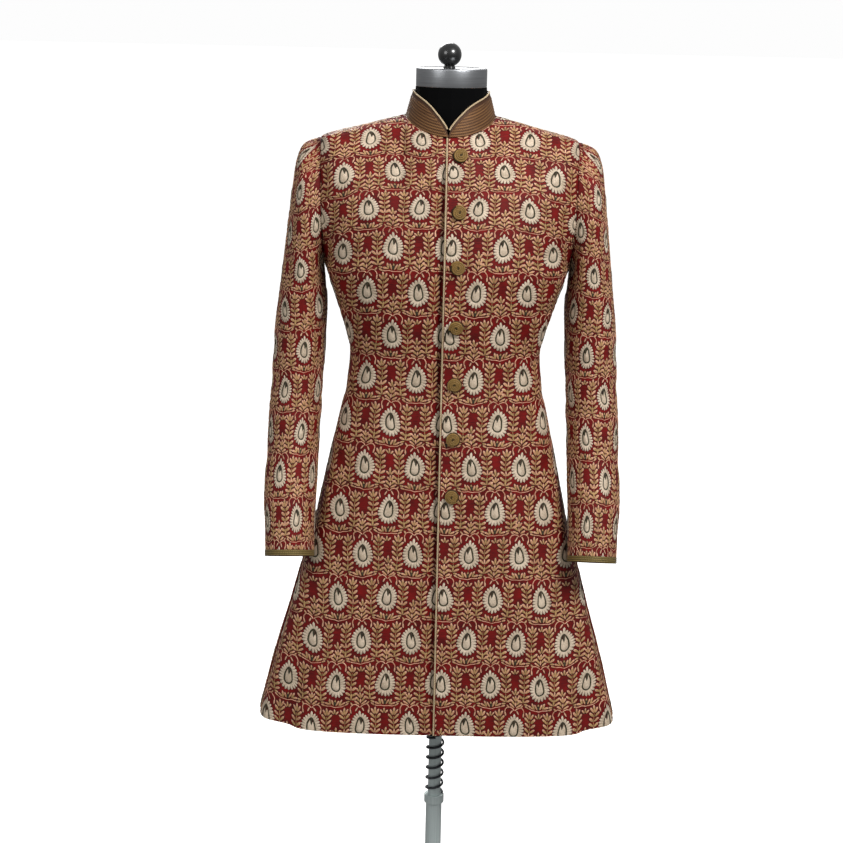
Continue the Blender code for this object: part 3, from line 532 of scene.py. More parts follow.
# %% [markdown]
# ### Fronts and backs
#
# The embroidered motifs stand in rows. On this coat the rows are 75 mm apart, and on the fronts they close
# up to 50 mm where the cloth leans back towards the neck. Across the cloth, a distance is measured from the
# centre line, level by level; it counts the turn of the side less than its full length, because the columns
# of motifs stay plumb there. Towards the side seam the rows droop a little.

# %% The body's grids
FINE_DEGS = 45 * (1 - np.cos(np.pi * np.linspace(0, 1, 65)))
PAST_CENTRE = 16
LOW_ROWS = np.linspace(HEM_Z, ARMPIT_Z, 62)
TOP_RISES = 1 - (1 - np.linspace(0, 1, 36)[1:]) ** 1.7
PANEL_COLUMNS = 66
LEAST_CLIMB = 0.6
LEAST_ACROSS = 0.75
ROW_PITCH_MM = 73.7
COLUMN_PITCH_MM = 85.0
FIRST_ROW_MM, ROW_STEP_MM, EVEN_STEPS = 392, 75, 11
CLOSING_STEPS_MM = (75, 65, 57, 50, 50, 50)


def row_heights(upper_steps_mm):
    """The height of each row of motifs: even steps up to the armpit, then these."""
    steps = (ROW_STEP_MM,) * EVEN_STEPS + upper_steps_mm
    return FIRST_ROW_MM + np.concatenate([[0], np.cumsum(steps)])


ROW_HEIGHTS = {
    "front": row_heights(CLOSING_STEPS_MM),
    "back": row_heights((ROW_STEP_MM,) * len(CLOSING_STEPS_MM)),
}
SIDE_DROOP_MM, CHEST_DROOP_MM = 9.0, 12.0
DROOP_ACROSS_MM = (95, 225)
CHEST_FROM_MM, CHEST_TO_MM = (1190, 1270), (1370, 1430)
FREE_RISES = (0.45, 0.9)


def climbed(heights, grid, least):
    """Heights that go on rising by at least this share of the way along the cloth, where it turns level."""
    steps = np.linalg.norm(np.diff(grid, axis=0), axis=-1)
    gains = np.maximum(np.diff(heights, axis=0), least * steps)
    return np.concatenate([heights[:1], heights[:1] + np.cumsum(gains, axis=0)])


def body_grid(face, start_x):
    """A quarter of the body on the +X side, and each point's distance across and height up in mm."""
    rows = [(body_row(face, z, FINE_DEGS), LEAST_ACROSS) for z in LOW_ROWS]
    rows += [
        (chest_row(face, rise, FINE_DEGS), LEAST_ACROSS * (1 - smooth_step(rise, *FREE_RISES)))
        for rise in TOP_RISES
    ]
    grid, across = [], []
    for raw, least in rows:
        line = np.concatenate([(raw * MIRROR)[PAST_CENTRE:0:-1], raw])
        steps = np.diff(line, axis=0)
        lengths = np.linalg.norm(steps, axis=1)
        way = np.concatenate([[0.0], np.cumsum(lengths)])
        seen_way = np.concatenate([[0.0], np.cumsum(np.maximum(np.abs(steps[:, 0]), least * lengths))])
        stops = np.linspace(np.interp(start_x, line[:, 0], way), way[-1], PANEL_COLUMNS)
        grid.append(np.stack([np.interp(stops, way, line[:, axis]) for axis in range(3)], axis=1))
        across.append((np.interp(stops, way, seen_way) - seen_way[PAST_CENTRE]) * 1000)
    grid, across = np.array(grid), np.array(across)
    heights = climbed(grid[:, :, 2], grid, LEAST_CLIMB) * 1000
    return grid, across, heights


def chart_place(face, across, heights):
    """The same places in the embroidery chart's own millimetres."""
    rows = ROW_HEIGHTS[face]
    chest = smooth_step(heights, *CHEST_FROM_MM) * (1 - smooth_step(heights, *CHEST_TO_MM))
    droop = (SIDE_DROOP_MM + CHEST_DROOP_MM * chest) * smooth_step(across, *DROOP_ACROSS_MM)
    up = np.interp(heights + droop, rows, np.arange(len(rows)) * ROW_PITCH_MM)
    return across, up


print("rows", len(LOW_ROWS) + len(TOP_RISES), "columns", PANEL_COLUMNS)

# %% Laying a panel
SHELL_WALL = 0.0016
ARMHOLE_FADE_MM = 30
SEAM_SINK_LOW = 0.35
TOP_HELD_ROWS = 8
BACK_SEAM_MM = 12
BULGE_X, BULGE_BREADTH = 0.026, 0.007
GROOVE_TOP_MM, GROOVE_FOOT_MM = (1395, 1445), (470, 540)
GROOVE_AT_HEM = 0.3
Cloth = namedtuple("Cloth", "name piece grid normals across up outward area")
cloths = {}


def lay_panel(name, face, start_x, finish, mirror=False, lap=False):
    """Makes one panel of the body on its solid, and keeps its measures for the embroidery."""
    grid, across, heights = body_grid(face, start_x)
    outward = 1 if face == "front" else -1
    normals = grid_normals(grid, outward)
    depth = crease_depth(BODY_CREASES, across, heights)
    armhole = smooth_step(heights, ARMPIT_Z * 1000, ARMPIT_Z * 1000 + ARMHOLE_FADE_MM)
    edge_mm = across[:, -1:] - across
    seam = SEAM_SINK_MM / 1000 * np.exp(-((edge_mm / SEAM_BREADTH_MM) ** 2))
    depth += seam * (SEAM_SINK_LOW + (1 - SEAM_SINK_LOW) * armhole)
    if lap:
        depth += LAP_DEPTH * (1 - smooth_step(grid[:, :, 0], *LAP_STEP))
        groove = LAP_GROOVE_DEPTH * (1 - smooth_step(grid[:, :, 0], *LAP_GROOVE_BANK))
        groove -= LAP_BULGE * np.exp(-(((grid[:, :, 0] - BULGE_X) / BULGE_BREADTH) ** 2))
        groove *= 1 - smooth_step(heights, *GROOVE_TOP_MM)
        depth += groove * (GROOVE_AT_HEM + (1 - GROOVE_AT_HEM) * smooth_step(heights, *GROOVE_FOOT_MM))
    top_hold = 1 - smooth_step(np.arange(len(grid)), len(grid) - 1 - TOP_HELD_ROWS, len(grid) - 1)
    if not lap:
        depth *= top_hold[:, None]
    if face == "back":
        depth *= smooth_step(across, 0, BACK_SEAM_MM)
    grid = grid - normals * depth[:, :, None]
    grid[-1] += unit(grid[-2] - grid[-1]) * SEAM_GAP / 2
    grid[:, -1] += unit(grid[:, -2] - grid[:, -1]) * SEAM_GAP / 2
    if face == "back":
        grid[:, 0, 0] = SEAM_GAP / 2
    normals = grid_normals(grid, outward)
    inner = grid - normals * SHELL_WALL
    if mirror:
        grid, inner, normals, outward = grid * MIRROR, inner * MIRROR, normals * MIRROR, -outward
    uvs = np.stack([across, heights], axis=-1) / 1000
    piece = cloth_wall(name + "_cloth", grid, inner, uvs, finish, outward)
    place = chart_place(face, across, heights)
    cloths[name] = Cloth(name, piece, grid, normals, *place, outward, one_side_area(grid))
    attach(piece, COAT_BODY)
    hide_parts(name)
    print(name, "area", round(cloths[name].area, 3), "m2", len(piece.data.polygons), "faces")

# %% [markdown]
# ### The red ground
#
# The ground is raw silk: a plain weave of slightly uneven yarns, with a soft lustre that is strongest where
# the cloth turns away. The yarns are about 0.35 mm apart, too fine to show, so the weave is drawn at 0.9 mm.
# A slub, a thick place in a yarn, makes short streaks along the weft. Two waves, one for each set of yarns,
# give the weave; noise that is stretched across the cloth gives the slubs and the uneven dye.

# %% Raw silk
WEAVE_MM = 0.9
GROUND_DARK, GROUND_RED = "#470503", "#7e0b09"


def wave_scale(pitch_mm):
    """The wave texture's scale that repeats at this pitch, on coordinates in metres."""
    return math.pi * 100 / pitch_mm


def weave_bump(material, uv, pitch_mm, strength, depth_mm):
    """The small relief of a plain weave."""
    waves = []
    for direction in ("X", "Y"):
        wave = add_node(
            material, "ShaderNodeTexWave", {"Vector": uv, "Scale": wave_scale(pitch_mm), "Distortion": 0.6},
            bands_direction=direction,
        )
        waves.append(wave.outputs["Fac"])
    both = add_node(material, "ShaderNodeMath", {0: waves[0], 1: waves[1]}, operation="MAXIMUM")
    return add_node(
        material, "ShaderNodeBump",
        {"Height": both.outputs[0], "Strength": strength, "Distance": depth_mm / 1000},
    )


def silk_ground(name, dark_hex, light_hex):
    silk, shader = new_finish(
        name, Roughness=0.66, Specular_IOR_Level=0.22, Sheen_Weight=0.04, Sheen_Roughness=0.45
    )
    shader.inputs["Sheen Tint"].default_value = linear("#a03040")
    uv = add_node(silk, "ShaderNodeUVMap", uv_map="cloth_metres").outputs["UV"]
    slub_place = add_node(silk, "ShaderNodeMapping", {"Vector": uv, "Scale": (70, 900, 1)})
    slubs = add_node(
        silk, "ShaderNodeTexNoise", {"Vector": slub_place.outputs[0], "Scale": 1.0, "Detail": 3.0}
    )
    dye = add_node(silk, "ShaderNodeTexNoise", {"Vector": uv, "Scale": 38.0, "Detail": 2.0})
    mixed = add_node(silk, "ShaderNodeMix", {0: 0.45, 2: slubs.outputs["Fac"], 3: dye.outputs["Fac"]})
    spread = add_node(silk, "ShaderNodeMapRange", {0: mixed.outputs[0], 1: 0.36, 2: 0.64})
    tone = two_tones(silk, spread.outputs[0], dark_hex, light_hex)
    into(silk, tone.outputs["Color"], shader, "Base Color")
    bump = weave_bump(silk, uv, WEAVE_MM, 0.35, 0.25)
    into(silk, bump.outputs["Normal"], shader, "Normal")
    return silk


raw_silk = silk_ground("raw_silk_red", GROUND_DARK, GROUND_RED)
print("made", raw_silk.name)

# %% The four panels
lay_panel("front_left", "front", FRONT_EDGE_X, raw_silk)
lay_panel("front_right", "front", -UNDERLAP, raw_silk, mirror=True, lap=True)
lay_panel("back_left", "back", 0.0, raw_silk)
lay_panel("back_right", "back", 0.0, raw_silk, mirror=True)

# %% [markdown]
# ### Sleeves
#
# A sherwani sleeve is a slim tube with a rounded cap and no gathers, and it keeps the slight forward bend
# of the arm. Its rings are read from a table, from the armhole down to the cuff. Near the cap the rings
# stand upright like the armhole, lower down they lie square to the arm, so the embroidery's rows can't
# follow the rings: they follow the height above the floor instead.

# %% The sleeve's rings
Ring = namedtuple("Ring", "way top_x top_z under_x under_z middle_y front back tilt")
SLEEVE = [
    (0.2175, 1.4594, 0.2110, 1.249, 0.008, 0.068, 0.073, 0.0),
    (0.2345, 1.4540, 0.2130, 1.241, 0.008, 0.073, 0.078, 0.0),
    (0.2490, 1.4450, 0.2125, 1.234, 0.008, 0.077, 0.082, 0.0),
    (0.2590, 1.4200, 0.2110, 1.226, 0.008, 0.080, 0.085, 0.0),
    (0.2660, 1.3740, 0.2095, 1.217, 0.008, 0.081, 0.086, 0.0),
    (0.2735, 1.3050, 0.2080, 1.206, 0.007, 0.080, 0.085, 0.0),
    (0.2800, 1.2480, 0.2065, 1.195, 0.006, 0.079, 0.083, 0.0),
    (0.2880, 1.1910, 0.2050, 1.180, 0.005, 0.077, 0.080, 0.0),
    (0.2955, 1.1280, 0.2073, 1.122, 0.002, 0.074, 0.076, 0.02),
    (0.2990, 1.0450, 0.2100, 1.042, -0.009, 0.069, 0.069, 0.06),
    (0.3025, 0.9850, 0.2130, 0.984, -0.023, 0.066, 0.065, 0.12),
    (0.3042, 0.9300, 0.2155, 0.930, -0.038, 0.063, 0.062, 0.18),
    (0.3060, 0.8830, 0.2167, 0.883, -0.058, 0.060, 0.058, 0.24),
    (0.3065, 0.8450, 0.2180, 0.846, -0.077, 0.057, 0.054, 0.29),
    (0.3025, 0.7950, 0.2185, 0.797, -0.101, 0.052, 0.049, 0.32),
    (0.3010, 0.7640, 0.2185, 0.766, -0.115, 0.048, 0.046, 0.33),
    (0.3005, 0.7536, 0.2183, 0.7556, -0.120, 0.047, 0.045, 0.33),
]
SLEEVE_ROWS = 84
SLEEVE_SIDES = 68
SLEEVE_REPEATS = 5
CREASE_ROUND = 510
SLEEVE_ROW_HEIGHTS = 690 + 69 * np.arange(13)


def sleeve_table():
    """The rings from the cuff up, each with its way along the outer side of the sleeve."""
    rows, way, last = [], 0.0, None
    for row in SLEEVE[::-1]:
        here = np.array(row)
        if last is not None:
            way += float(np.linalg.norm((here - last)[[0, 1, 4]]))
        rows.append(Ring(way, *row))
        last = here
    return rows


def sleeve_ring(ring, fine=144):
    """Points round one ring from the front-most one outwards, by quarters, and their level in metres."""
    turn = math.pi / 2 - np.linspace(0, 2 * math.pi, fine + 1)
    along = (1 + np.cos(turn)) / 2
    reach = np.where(np.sin(turn) > 0, ring.front, ring.back) * np.sin(turn)
    xs = ring.under_x + (ring.top_x - ring.under_x) * along
    rise = ring.tilt * reach
    zs = ring.under_z + (ring.top_z - ring.under_z) * along + rise
    line = np.stack([xs, ring.middle_y - reach, zs, zs - rise + ring.tilt * ring.front], axis=1)
    way = np.concatenate([[0.0], np.cumsum(np.linalg.norm(np.diff(line[:, :3], axis=0), axis=1))])
    corners = way[:: fine // 4]
    quarters = zip(corners, corners[1:])
    stops = np.concatenate([np.linspace(low, high, SLEEVE_SIDES // 4 + 1)[:-1] for low, high in quarters])
    return np.stack([np.interp(stops, way, line[:, axis]) for axis in range(4)], axis=1)


def sleeve_grid():
    """The sleeve on the +X side from the cuff up: points, chart place, and distances round and up."""
    table = sleeve_table()
    ways = table[-1].way * (1 - (1 - np.linspace(0, 1, SLEEVE_ROWS)) ** 1.15)
    rows = np.array([sleeve_ring(smooth_table(table, "way", way)) for way in ways])
    grid, levels = rows[:, :, :3], rows[:, :, 3]
    heights = climbed(levels, grid, LEAST_CLIMB) * 1000
    rounds = np.broadcast_to(np.arange(SLEEVE_SIDES) / SLEEVE_SIDES, heights.shape)
    across = rounds * CREASE_ROUND
    girth = np.linalg.norm(np.diff(np.concatenate([grid, grid[:, :1]], axis=1), axis=1), axis=-1).sum(axis=1)
    return grid, across, heights, rounds * girth[:, None] * 1000


def closed_normals(grid, outward):
    wrapped = np.concatenate([grid[:, -2:], grid, grid[:, :2]], axis=1)
    return grid_normals(wrapped, outward)[:, 2:-2]


def lay_sleeve(name, finish, mirror):
    grid, across, heights, round_mm = sleeve_grid()
    normals = closed_normals(grid, 1)
    depth = crease_depth(SLEEVE_CREASES, across, heights)
    from_armhole = np.linalg.norm(grid - grid[-1:], axis=-1) * 1000
    hold = smooth_step(heights - heights[:1], 8, 40) * smooth_step(from_armhole, 0, 12)
    depth = depth * hold + SEAM_SINK_MM / 1000 * np.exp(-(((from_armhole - 4) / SEAM_BREADTH_MM) ** 2)) * 0.5
    grid = grid - normals * depth[:, :, None]
    normals = closed_normals(grid, 1)
    inner = grid - normals * SHELL_WALL
    grid[-1, :, 0] += SEAM_GAP / 2
    inner[-1, :, 0] = grid[-1, :, 0]
    outward = 1
    if mirror:
        grid, inner, normals, outward = grid * MIRROR, inner * MIRROR, normals * MIRROR, -1
    uvs = np.stack([round_mm, heights], axis=-1) / 1000
    piece = cloth_wall(name + "_cloth", grid, inner, uvs, finish, outward, closed=True)
    closed = np.concatenate([grid, grid[:, :1]], axis=1)
    cloths[name] = Cloth(name, piece, grid, normals, across, heights, outward, one_side_area(closed))
    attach(piece, COAT_BODY)
    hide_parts(name)
    print(name, "area", round(cloths[name].area, 3), "m2", len(piece.data.polygons), "faces")


lay_sleeve("sleeve_left", raw_silk, mirror=False)
lay_sleeve("sleeve_right", raw_silk, mirror=True)

# %% [markdown]
# ## The embroidery
#
# The pattern is a traditional all-over one of leaves and flower drops. It is charted below, in millimetres
# from the middle of a motif: a drop ringed by petals, a palmette above it, a fan of leaves below, and a
# leafy stem on each side. Rows of motifs stand half a repeat apart, so one chart fills the cloth.
#
# It could be a bump map, but silk floss is thick enough to cast its own shadow. So every leaf is a small
# cushion of satin stitch, with a ridge along its middle and a dark maroon edge sunk in the ground, which is
# painted shade at its foot. The chart is made once, as points and faces on a flat sheet, and then laid on the
# cloth as often as it is needed.

# %% Shapes of the chart
# The first of these thread numbers is the dark maroon ring round the foot of every leaf and petal: painted
# shade where the cushion meets the ground.
SHADE_OUTLINE, CREAM, PEACH, KHAKI, TAN, GREEN = range(6)
SUNK_MM = -0.15
EDGE_MM = 1.3
PETAL_EDGE_MM = 0.75
CUSHION_MM = 0.55
RIDGE_MM = 0.95
LEAF = ((0.0, 0.0), (0.26, 0.40), (0.62, 0.5), (0.88, 0.34), (1.0, 0.0))
PETAL = ((0.0, 0.0), (0.12, 0.5), (0.8, 0.44), (1.0, 0.0))


class Chart:
    """Points, stitch directions and faces of everything in one repeat, in millimetres."""

    def __init__(self, leaf_breadth=1.0, motif_stretch=1.0):
        self.points, self.uvs, self.faces, self.threads = [], [], [], []
        self.leaf_breadth = leaf_breadth
        self.motif_stretch = motif_stretch

    def add(self, points, uvs, faces, threads):
        first = len(self.points)
        self.points += points
        self.uvs += uvs
        self.faces += [[first + corner for corner in face] for face in faces]
        self.threads += threads

    def leaf(self, x, y, tip_x, tip_y, width, base_thread, tip_thread=None, profile=LEAF, lift=0.0):
        """One satin-stitch leaf from its foot to its tip; `lift` lays it over other stitches."""
        tip_thread = base_thread if tip_thread is None else tip_thread
        width *= self.leaf_breadth
        run = np.array([tip_x - x, tip_y - y])
        length = float(np.linalg.norm(run))
        run = run / length
        side = np.array([run[1], -run[0]])
        points, uvs = [], []

        def put(way, aside, height):
            place = np.array([x, y]) + run * way + side * aside
            points.append((place[0], place[1], height + (lift if height > SUNK_MM else 0.0)))
            uvs.append((aside, way))

        edge_mm = PETAL_EDGE_MM if profile is PETAL else EDGE_MM
        for grow, height in ((edge_mm, SUNK_MM), (0.0, CUSHION_MM)):
            stations = [(share * (length + 2 * grow) - grow, half * width) for share, half in profile]
            put(stations[0][0], 0.0, height)
            for way, half in stations[1:-1]:
                put(way, half + grow, height)
            put(stations[-1][0], 0.0, height)
            for way, half in stations[-2:0:-1]:
                put(way, -half - grow, height)
        sides = 2 * (len(profile) - 1)
        # The outer ring of faces, from the sunk edge up to the cushion, is coloured dark maroon as painted
        # shade.
        edge = [[k, (k + 1) % sides, sides + (k + 1) % sides, sides + k] for k in range(sides)]
        if profile is PETAL:
            put(length * 0.6, 0.0, RIDGE_MM)
            body = [[sides + k, sides + (k + 1) % sides, 2 * sides] for k in range(sides)]
            self.add(points, uvs, edge + body, [SHADE_OUTLINE] * sides + [base_thread] * sides)
            return
        put(length * 0.36, 0.0, RIDGE_MM)
        put(length * 0.72, 0.0, RIDGE_MM * 0.9)
        low_ridge, high_ridge = 16, 17
        body = [[8, 9, low_ridge], [8, low_ridge, 15]]
        body += [[9, 10, high_ridge, low_ridge], [15, low_ridge, high_ridge, 14]]
        tip = [[10, 11, high_ridge], [14, high_ridge, 13], [11, 12, high_ridge], [13, high_ridge, 12]]
        self.add(points, uvs, edge + body + tip, [SHADE_OUTLINE] * 8 + [base_thread] * 4 + [tip_thread] * 4)

    def leaf_pair(self, x, y, tip_x, tip_y, width, base_thread, tip_thread=None):
        for side in (1, -1):
            self.leaf(side * x, y, side * tip_x, tip_y, width, base_thread, tip_thread)

    def cord(self, line, width, thread, closed=False, height=0.7):
        """A couched line of floss."""
        line = np.array(line, dtype=float)
        ahead = np.gradient(line, axis=0)
        if closed:
            ahead = np.roll(line, -1, axis=0) - np.roll(line, 1, axis=0)
        ahead /= np.linalg.norm(ahead, axis=1, keepdims=True)
        side = np.stack([ahead[:, 1], -ahead[:, 0]], axis=1)
        points, uvs, faces = [], [], []
        way = 0.0
        for number, (place, aside) in enumerate(zip(line, side)):
            way += 0.0 if number == 0 else float(np.linalg.norm(place - line[number - 1]))
            for offset, rise in ((width / 2, SUNK_MM), (0.0, height), (-width / 2, SUNK_MM)):
                spot = place + aside * offset
                points.append((spot[0], spot[1], rise))
                uvs.append((way, offset))
        count = len(line)
        for number in range(count if closed else count - 1):
            here, after = 3 * number, 3 * ((number + 1) % count)
            for lane in (0, 1):
                faces.append([here + lane, after + lane, after + lane + 1, here + lane + 1])
        self.add(points, uvs, faces, [thread] * len(faces))

    def drop(self, outline, middle, thread, height):
        """A padded drop: a rim, a shoulder and a crown."""
        outline = np.array(outline, dtype=float)
        middle = np.array(middle)
        points, uvs, faces = [], [], []
        for share, rise in ((1.0, SUNK_MM), (0.72, height * 0.75)):
            for place in middle + (outline - middle) * share:
                points.append((place[0], place[1], rise))
                uvs.append((place[0], place[1]))
        points.append((*middle, height))
        uvs.append(tuple(middle))
        count = len(outline)
        for k in range(count):
            after = (k + 1) % count
            faces.append([k, after, count + after, count + k])
            faces.append([count + k, count + after, 2 * count])
        self.add(points, uvs, faces, [thread] * len(faces))

    def arrays(self):
        quads = np.array([f for f in self.faces if len(f) == 4])
        tris = np.array([f for f in self.faces if len(f) == 3])
        kinds = np.array([len(f) for f in self.faces])
        threads = np.array(self.threads)
        points, uvs = np.array(self.points), np.array(self.uvs)
        return points, uvs, quads, tris, threads[kinds == 4], threads[kinds == 3]


DROP_TAPER = 1.15


def drop_point(turn, half_width, bottom, top, belly=-4.0):
    """A point of a drop shape, by its turn from the lowest point round by the right."""
    sine, cosine = math.sin(turn), math.cos(turn)
    if cosine > 0:
        return half_width * sine, belly + (bottom - belly) * cosine
    return half_width * math.copysign(abs(sine) ** DROP_TAPER, sine), belly - (top - belly) * cosine


print("leaf faces", 16, "petal faces", 12)

# %% The chart itself
PETALS = 22
DROP_SIDES = 18


def even_turns(count):
    """Turns round the petal ring at even distances."""
    fine = np.linspace(0, 2 * math.pi, 361)
    line = np.array([drop_point(turn, 12.5, -17.5, 21) for turn in fine])
    way = np.concatenate([[0.0], np.cumsum(np.linalg.norm(np.diff(line, axis=0), axis=1))])
    return np.interp(np.linspace(0, way[-1], count + 1)[:-1], way, fine)


def draw_motif(chart):
    """The flower drop: petals, a dark green line that thickens at its tip, and a cream heart."""
    wide = chart.motif_stretch
    for turn in even_turns(PETALS):
        foot = drop_point(turn, 7.6 * wide, -11.4, 15.0)
        tip = drop_point(turn, 18.0 * wide, -23.0, 28.4 if abs(turn - math.pi) < 0.2 else 25.4)
        chart.leaf(*foot, *tip, 4.3 * wide / chart.leaf_breadth, CREAM, profile=PETAL)
    turns = [2 * math.pi * k / DROP_SIDES for k in range(DROP_SIDES)]
    chart.cord([drop_point(t, 7.6 * wide, -11.8, 16.8) for t in turns], 3.7, GREEN, closed=True, height=1.25)
    heart = [drop_point(t, 6.6 * wide, -10.8, 15.0) for t in turns[::2]]
    chart.drop(heart, (0.0, -2.2), CREAM, 1.3)
    chart.leaf(-1.6 * wide, 3.4, -0.4, 16.4, 3.0, GREEN, lift=0.7)


def draw_palmette(chart):
    """Arches that spring from above the motif's tip, the palmette over them and the sprig on top."""
    for side in (1, -1):
        arch = [(0.8, 33.6), (3.6, 36.6), (8.2, 38.2), (12.8, 37.2), (15.8, 33.4), (16.6, 28.4)]
        chart.cord([(side * x, y) for x, y in arch][::side], 2.0, PEACH, height=0.9)
        chart.leaf(side * 16.4, 30.4, side * 14.8, 21.6, 2.6, PEACH)
        chart.leaf(side * 3.2, 34.2, side * 7.6, 26.4, 2.3, PEACH)
    chart.leaf_pair(0.9, 38.4, 10.8, 44.6, 3.4, TAN, PEACH)
    chart.leaf_pair(0.9, 43.4, 8.6, 51.8, 3.6, KHAKI, PEACH)
    chart.leaf(0, 40.6, 0, 48.6, 2.4, PEACH)
    chart.leaf_pair(0.7, 50.0, 5.4, 57.6, 3.2, TAN, PEACH)
    chart.leaf(0, 48.8, 0, 60.0, 3.2, KHAKI, PEACH)
    chart.leaf_pair(0.8, 60.2, 6.4, 67.2, 3.3, TAN, PEACH)
    chart.leaf(0, 61.4, 0, 73.0, 3.4, KHAKI, PEACH)


def draw_fan(chart):
    """The fan of leaves under the motif, on a thin scroll that runs to the next arches."""
    for side in (1, -1):
        scroll = [(0.0, -39.4), (7.0, -38.0), (13.0, -37.8), (18.4, -36.2)]
        chart.cord([(side * x, y) for x, y in scroll][::side], 1.5, PEACH, height=0.6)
    chart.leaf(0, -37.0, 0, -26.0, 3.0, GREEN, KHAKI)
    chart.leaf_pair(1.9, -36.6, 6.6, -26.6, 3.2, TAN, PEACH)
    chart.leaf_pair(7.2, -36.2, 11.0, -25.0, 3.6, KHAKI, PEACH)
    chart.leaf_pair(8.4, -35.4, 18.0, -31.0, 3.4, TAN, PEACH)
    chart.leaf_pair(16.8, -37.0, 24.0, -33.0, 2.8, TAN, PEACH)
    chart.leaf(0, -51.0, 0, -42.4, 2.8, KHAKI, PEACH)
    chart.leaf_pair(1.2, -51.6, 6.6, -45.4, 3.0, TAN, PEACH)


def draw_leafy_stem(chart, x):
    """An upright stem at this distance, with leaves in pairs and a spray at its head."""
    inner = -math.copysign(1, x)
    chart.cord([(x, -27), (x, -9), (x, 6), (x, 19)], 1.3, KHAKI, height=0.6)
    chart.leaf(x, 20.6, x, 34.4, 3.7, KHAKI, PEACH)
    for side in (1, -1):
        chart.leaf(x + side * 1.2, 20.4, x + side * 6.8, 30.8, 3.8, TAN, PEACH)
        chart.leaf(x + side * 1.0, 14.0, x + side * 9.4, 22.4, 4.2, KHAKI, PEACH)
        for foot_y, base in ((5.8, TAN), (-2.8, KHAKI), (-11.4, TAN)):
            chart.leaf(x + side * 0.6, foot_y, x + side * 9.0, foot_y + 7.2, 4.2, base, PEACH)
        chart.leaf(x + side * 0.8, -20.2, x + side * 10.4, -14.0, 4.2, KHAKI, PEACH)
        chart.leaf(x + side * 0.8, -27.2, x + side * 10.6, -22.4, 4.0, TAN, PEACH)
    chart.leaf(x, -11.6, x, -2.4, 2.4, PEACH)
    chart.leaf(x, -28.4, x, -16.0, 3.2, KHAKI)
    chart.leaf(x + inner * 1.0, -29.6, x + inner * 8.4, -31.4, 3.0, KHAKI, PEACH)
    chart.leaf(x - inner * 0.4, -31.2, x - inner * 5.0, -37.0, 3.0, TAN, PEACH)


STEM_MM = 26.6


def full_chart(leaf_breadth, motif_stretch):
    chart = Chart(leaf_breadth, motif_stretch)
    draw_motif(chart)
    draw_palmette(chart)
    draw_fan(chart)
    for x in (STEM_MM, -STEM_MM):
        draw_leafy_stem(chart, x)
    return chart.arrays()


body_chart = full_chart(1.0, 1.0)
sleeve_chart = full_chart(1.15, 0.9)
print("one repeat has", len(body_chart[2]) * 2 + len(body_chart[3]), "triangles")

# %% [markdown]
# ### Laying the chart on the cloth
#
# To find the spot on the cloth for a place in the chart, each cloth piece is first read into an even lattice,
# two millimetres apart in the chart. Between the lattice's points a spot is mixed from the four round it.
# A place just past an edge is held at the edge, and a face that lies wholly past it is left off, so the
# pattern is cut along the seams as on real cloth.

# %% The lattice
LATTICE_MM = 2.0
LATTICE_MARGIN_MM = 8.0
PLACE, TURNED, BEYOND, HEIGHT = slice(0, 3), slice(3, 6), 6, 7


def columns_by_height(rows, vs):
    """Reads rows of spots at even heights, and adds how far a height is past the cloth's ends."""
    lattice = np.zeros((len(vs), rows.shape[1], 7))
    for column in range(rows.shape[1]):
        climb = np.maximum.accumulate(rows[:, column, HEIGHT] + np.arange(len(rows)) * 1e-6)
        held = np.clip(vs, climb[0], climb[-1])
        for layer in range(7):
            lattice[:, column, layer] = np.interp(held, climb, rows[:, column, layer])
        lattice[:, column, BEYOND] += np.abs(vs - held)
    return lattice


def even_stops(values):
    return np.arange(values.min() - LATTICE_MARGIN_MM, values.max() + LATTICE_MARGIN_MM, LATTICE_MM)


def panel_lattice(cloth, least_across=None):
    """Place, normal and distance past the edge at an even lattice of chart places on a front or back."""
    us, vs = even_stops(cloth.across), even_stops(cloth.up)
    rows = np.zeros((len(cloth.grid), len(us), 8))
    for number, ahead in enumerate(cloth.across):
        ahead = np.maximum.accumulate(ahead + np.arange(len(ahead)) * 1e-6)
        least = ahead[0] if least_across is None else max(ahead[0], least_across)
        held = np.clip(us, least, ahead[-1])
        for axis in range(3):
            rows[number, :, axis] = np.interp(held, ahead, cloth.grid[number, :, axis])
            rows[number, :, 3 + axis] = np.interp(held, ahead, cloth.normals[number, :, axis])
        rows[number, :, BEYOND] = np.abs(us - held)
        rows[number, :, HEIGHT] = np.interp(held, ahead, cloth.up[number])
    return us[0], vs[0], columns_by_height(rows, vs)


print("lattice pitch", LATTICE_MM, "mm")

# %% The lattice of a sleeve
QUARTER = SLEEVE_SIDES // 4
FRONT_HALF = [number % SLEEVE_SIDES for number in range(QUARTER, -QUARTER - 1, -1)]
BACK_HALF = [number % SLEEVE_SIDES for number in range(QUARTER, 3 * QUARTER + 1)]
HALF_ROUND_MM = SLEEVE_REPEATS * COLUMN_PITCH_MM / 2
LEVEL_FROM_Z = 1.185
LEVEL_STEP = 0.004
LEVEL_CLIMB = 0.85
JOIN_FADE = 0.085


def level_line(half, z):
    """Where a half sleeve's long lines pass a height, from the outer one round, and the armhole too."""
    passed = half[-1, :, 2] > z
    columns = np.arange(passed.argmin() if not passed.all() else len(passed))
    ring = (half[:, columns, 2] > z).argmax(axis=0)
    low, high = half[ring - 1, columns], half[ring, columns]
    if not passed.all():
        low = np.concatenate([low, half[-1:, len(columns)]])
        high = np.concatenate([high, half[-1:, len(columns) - 1]])
    return low + (high - low) * (z - low[:, 2:3]) / (high[:, 2:3] - low[:, 2:3])


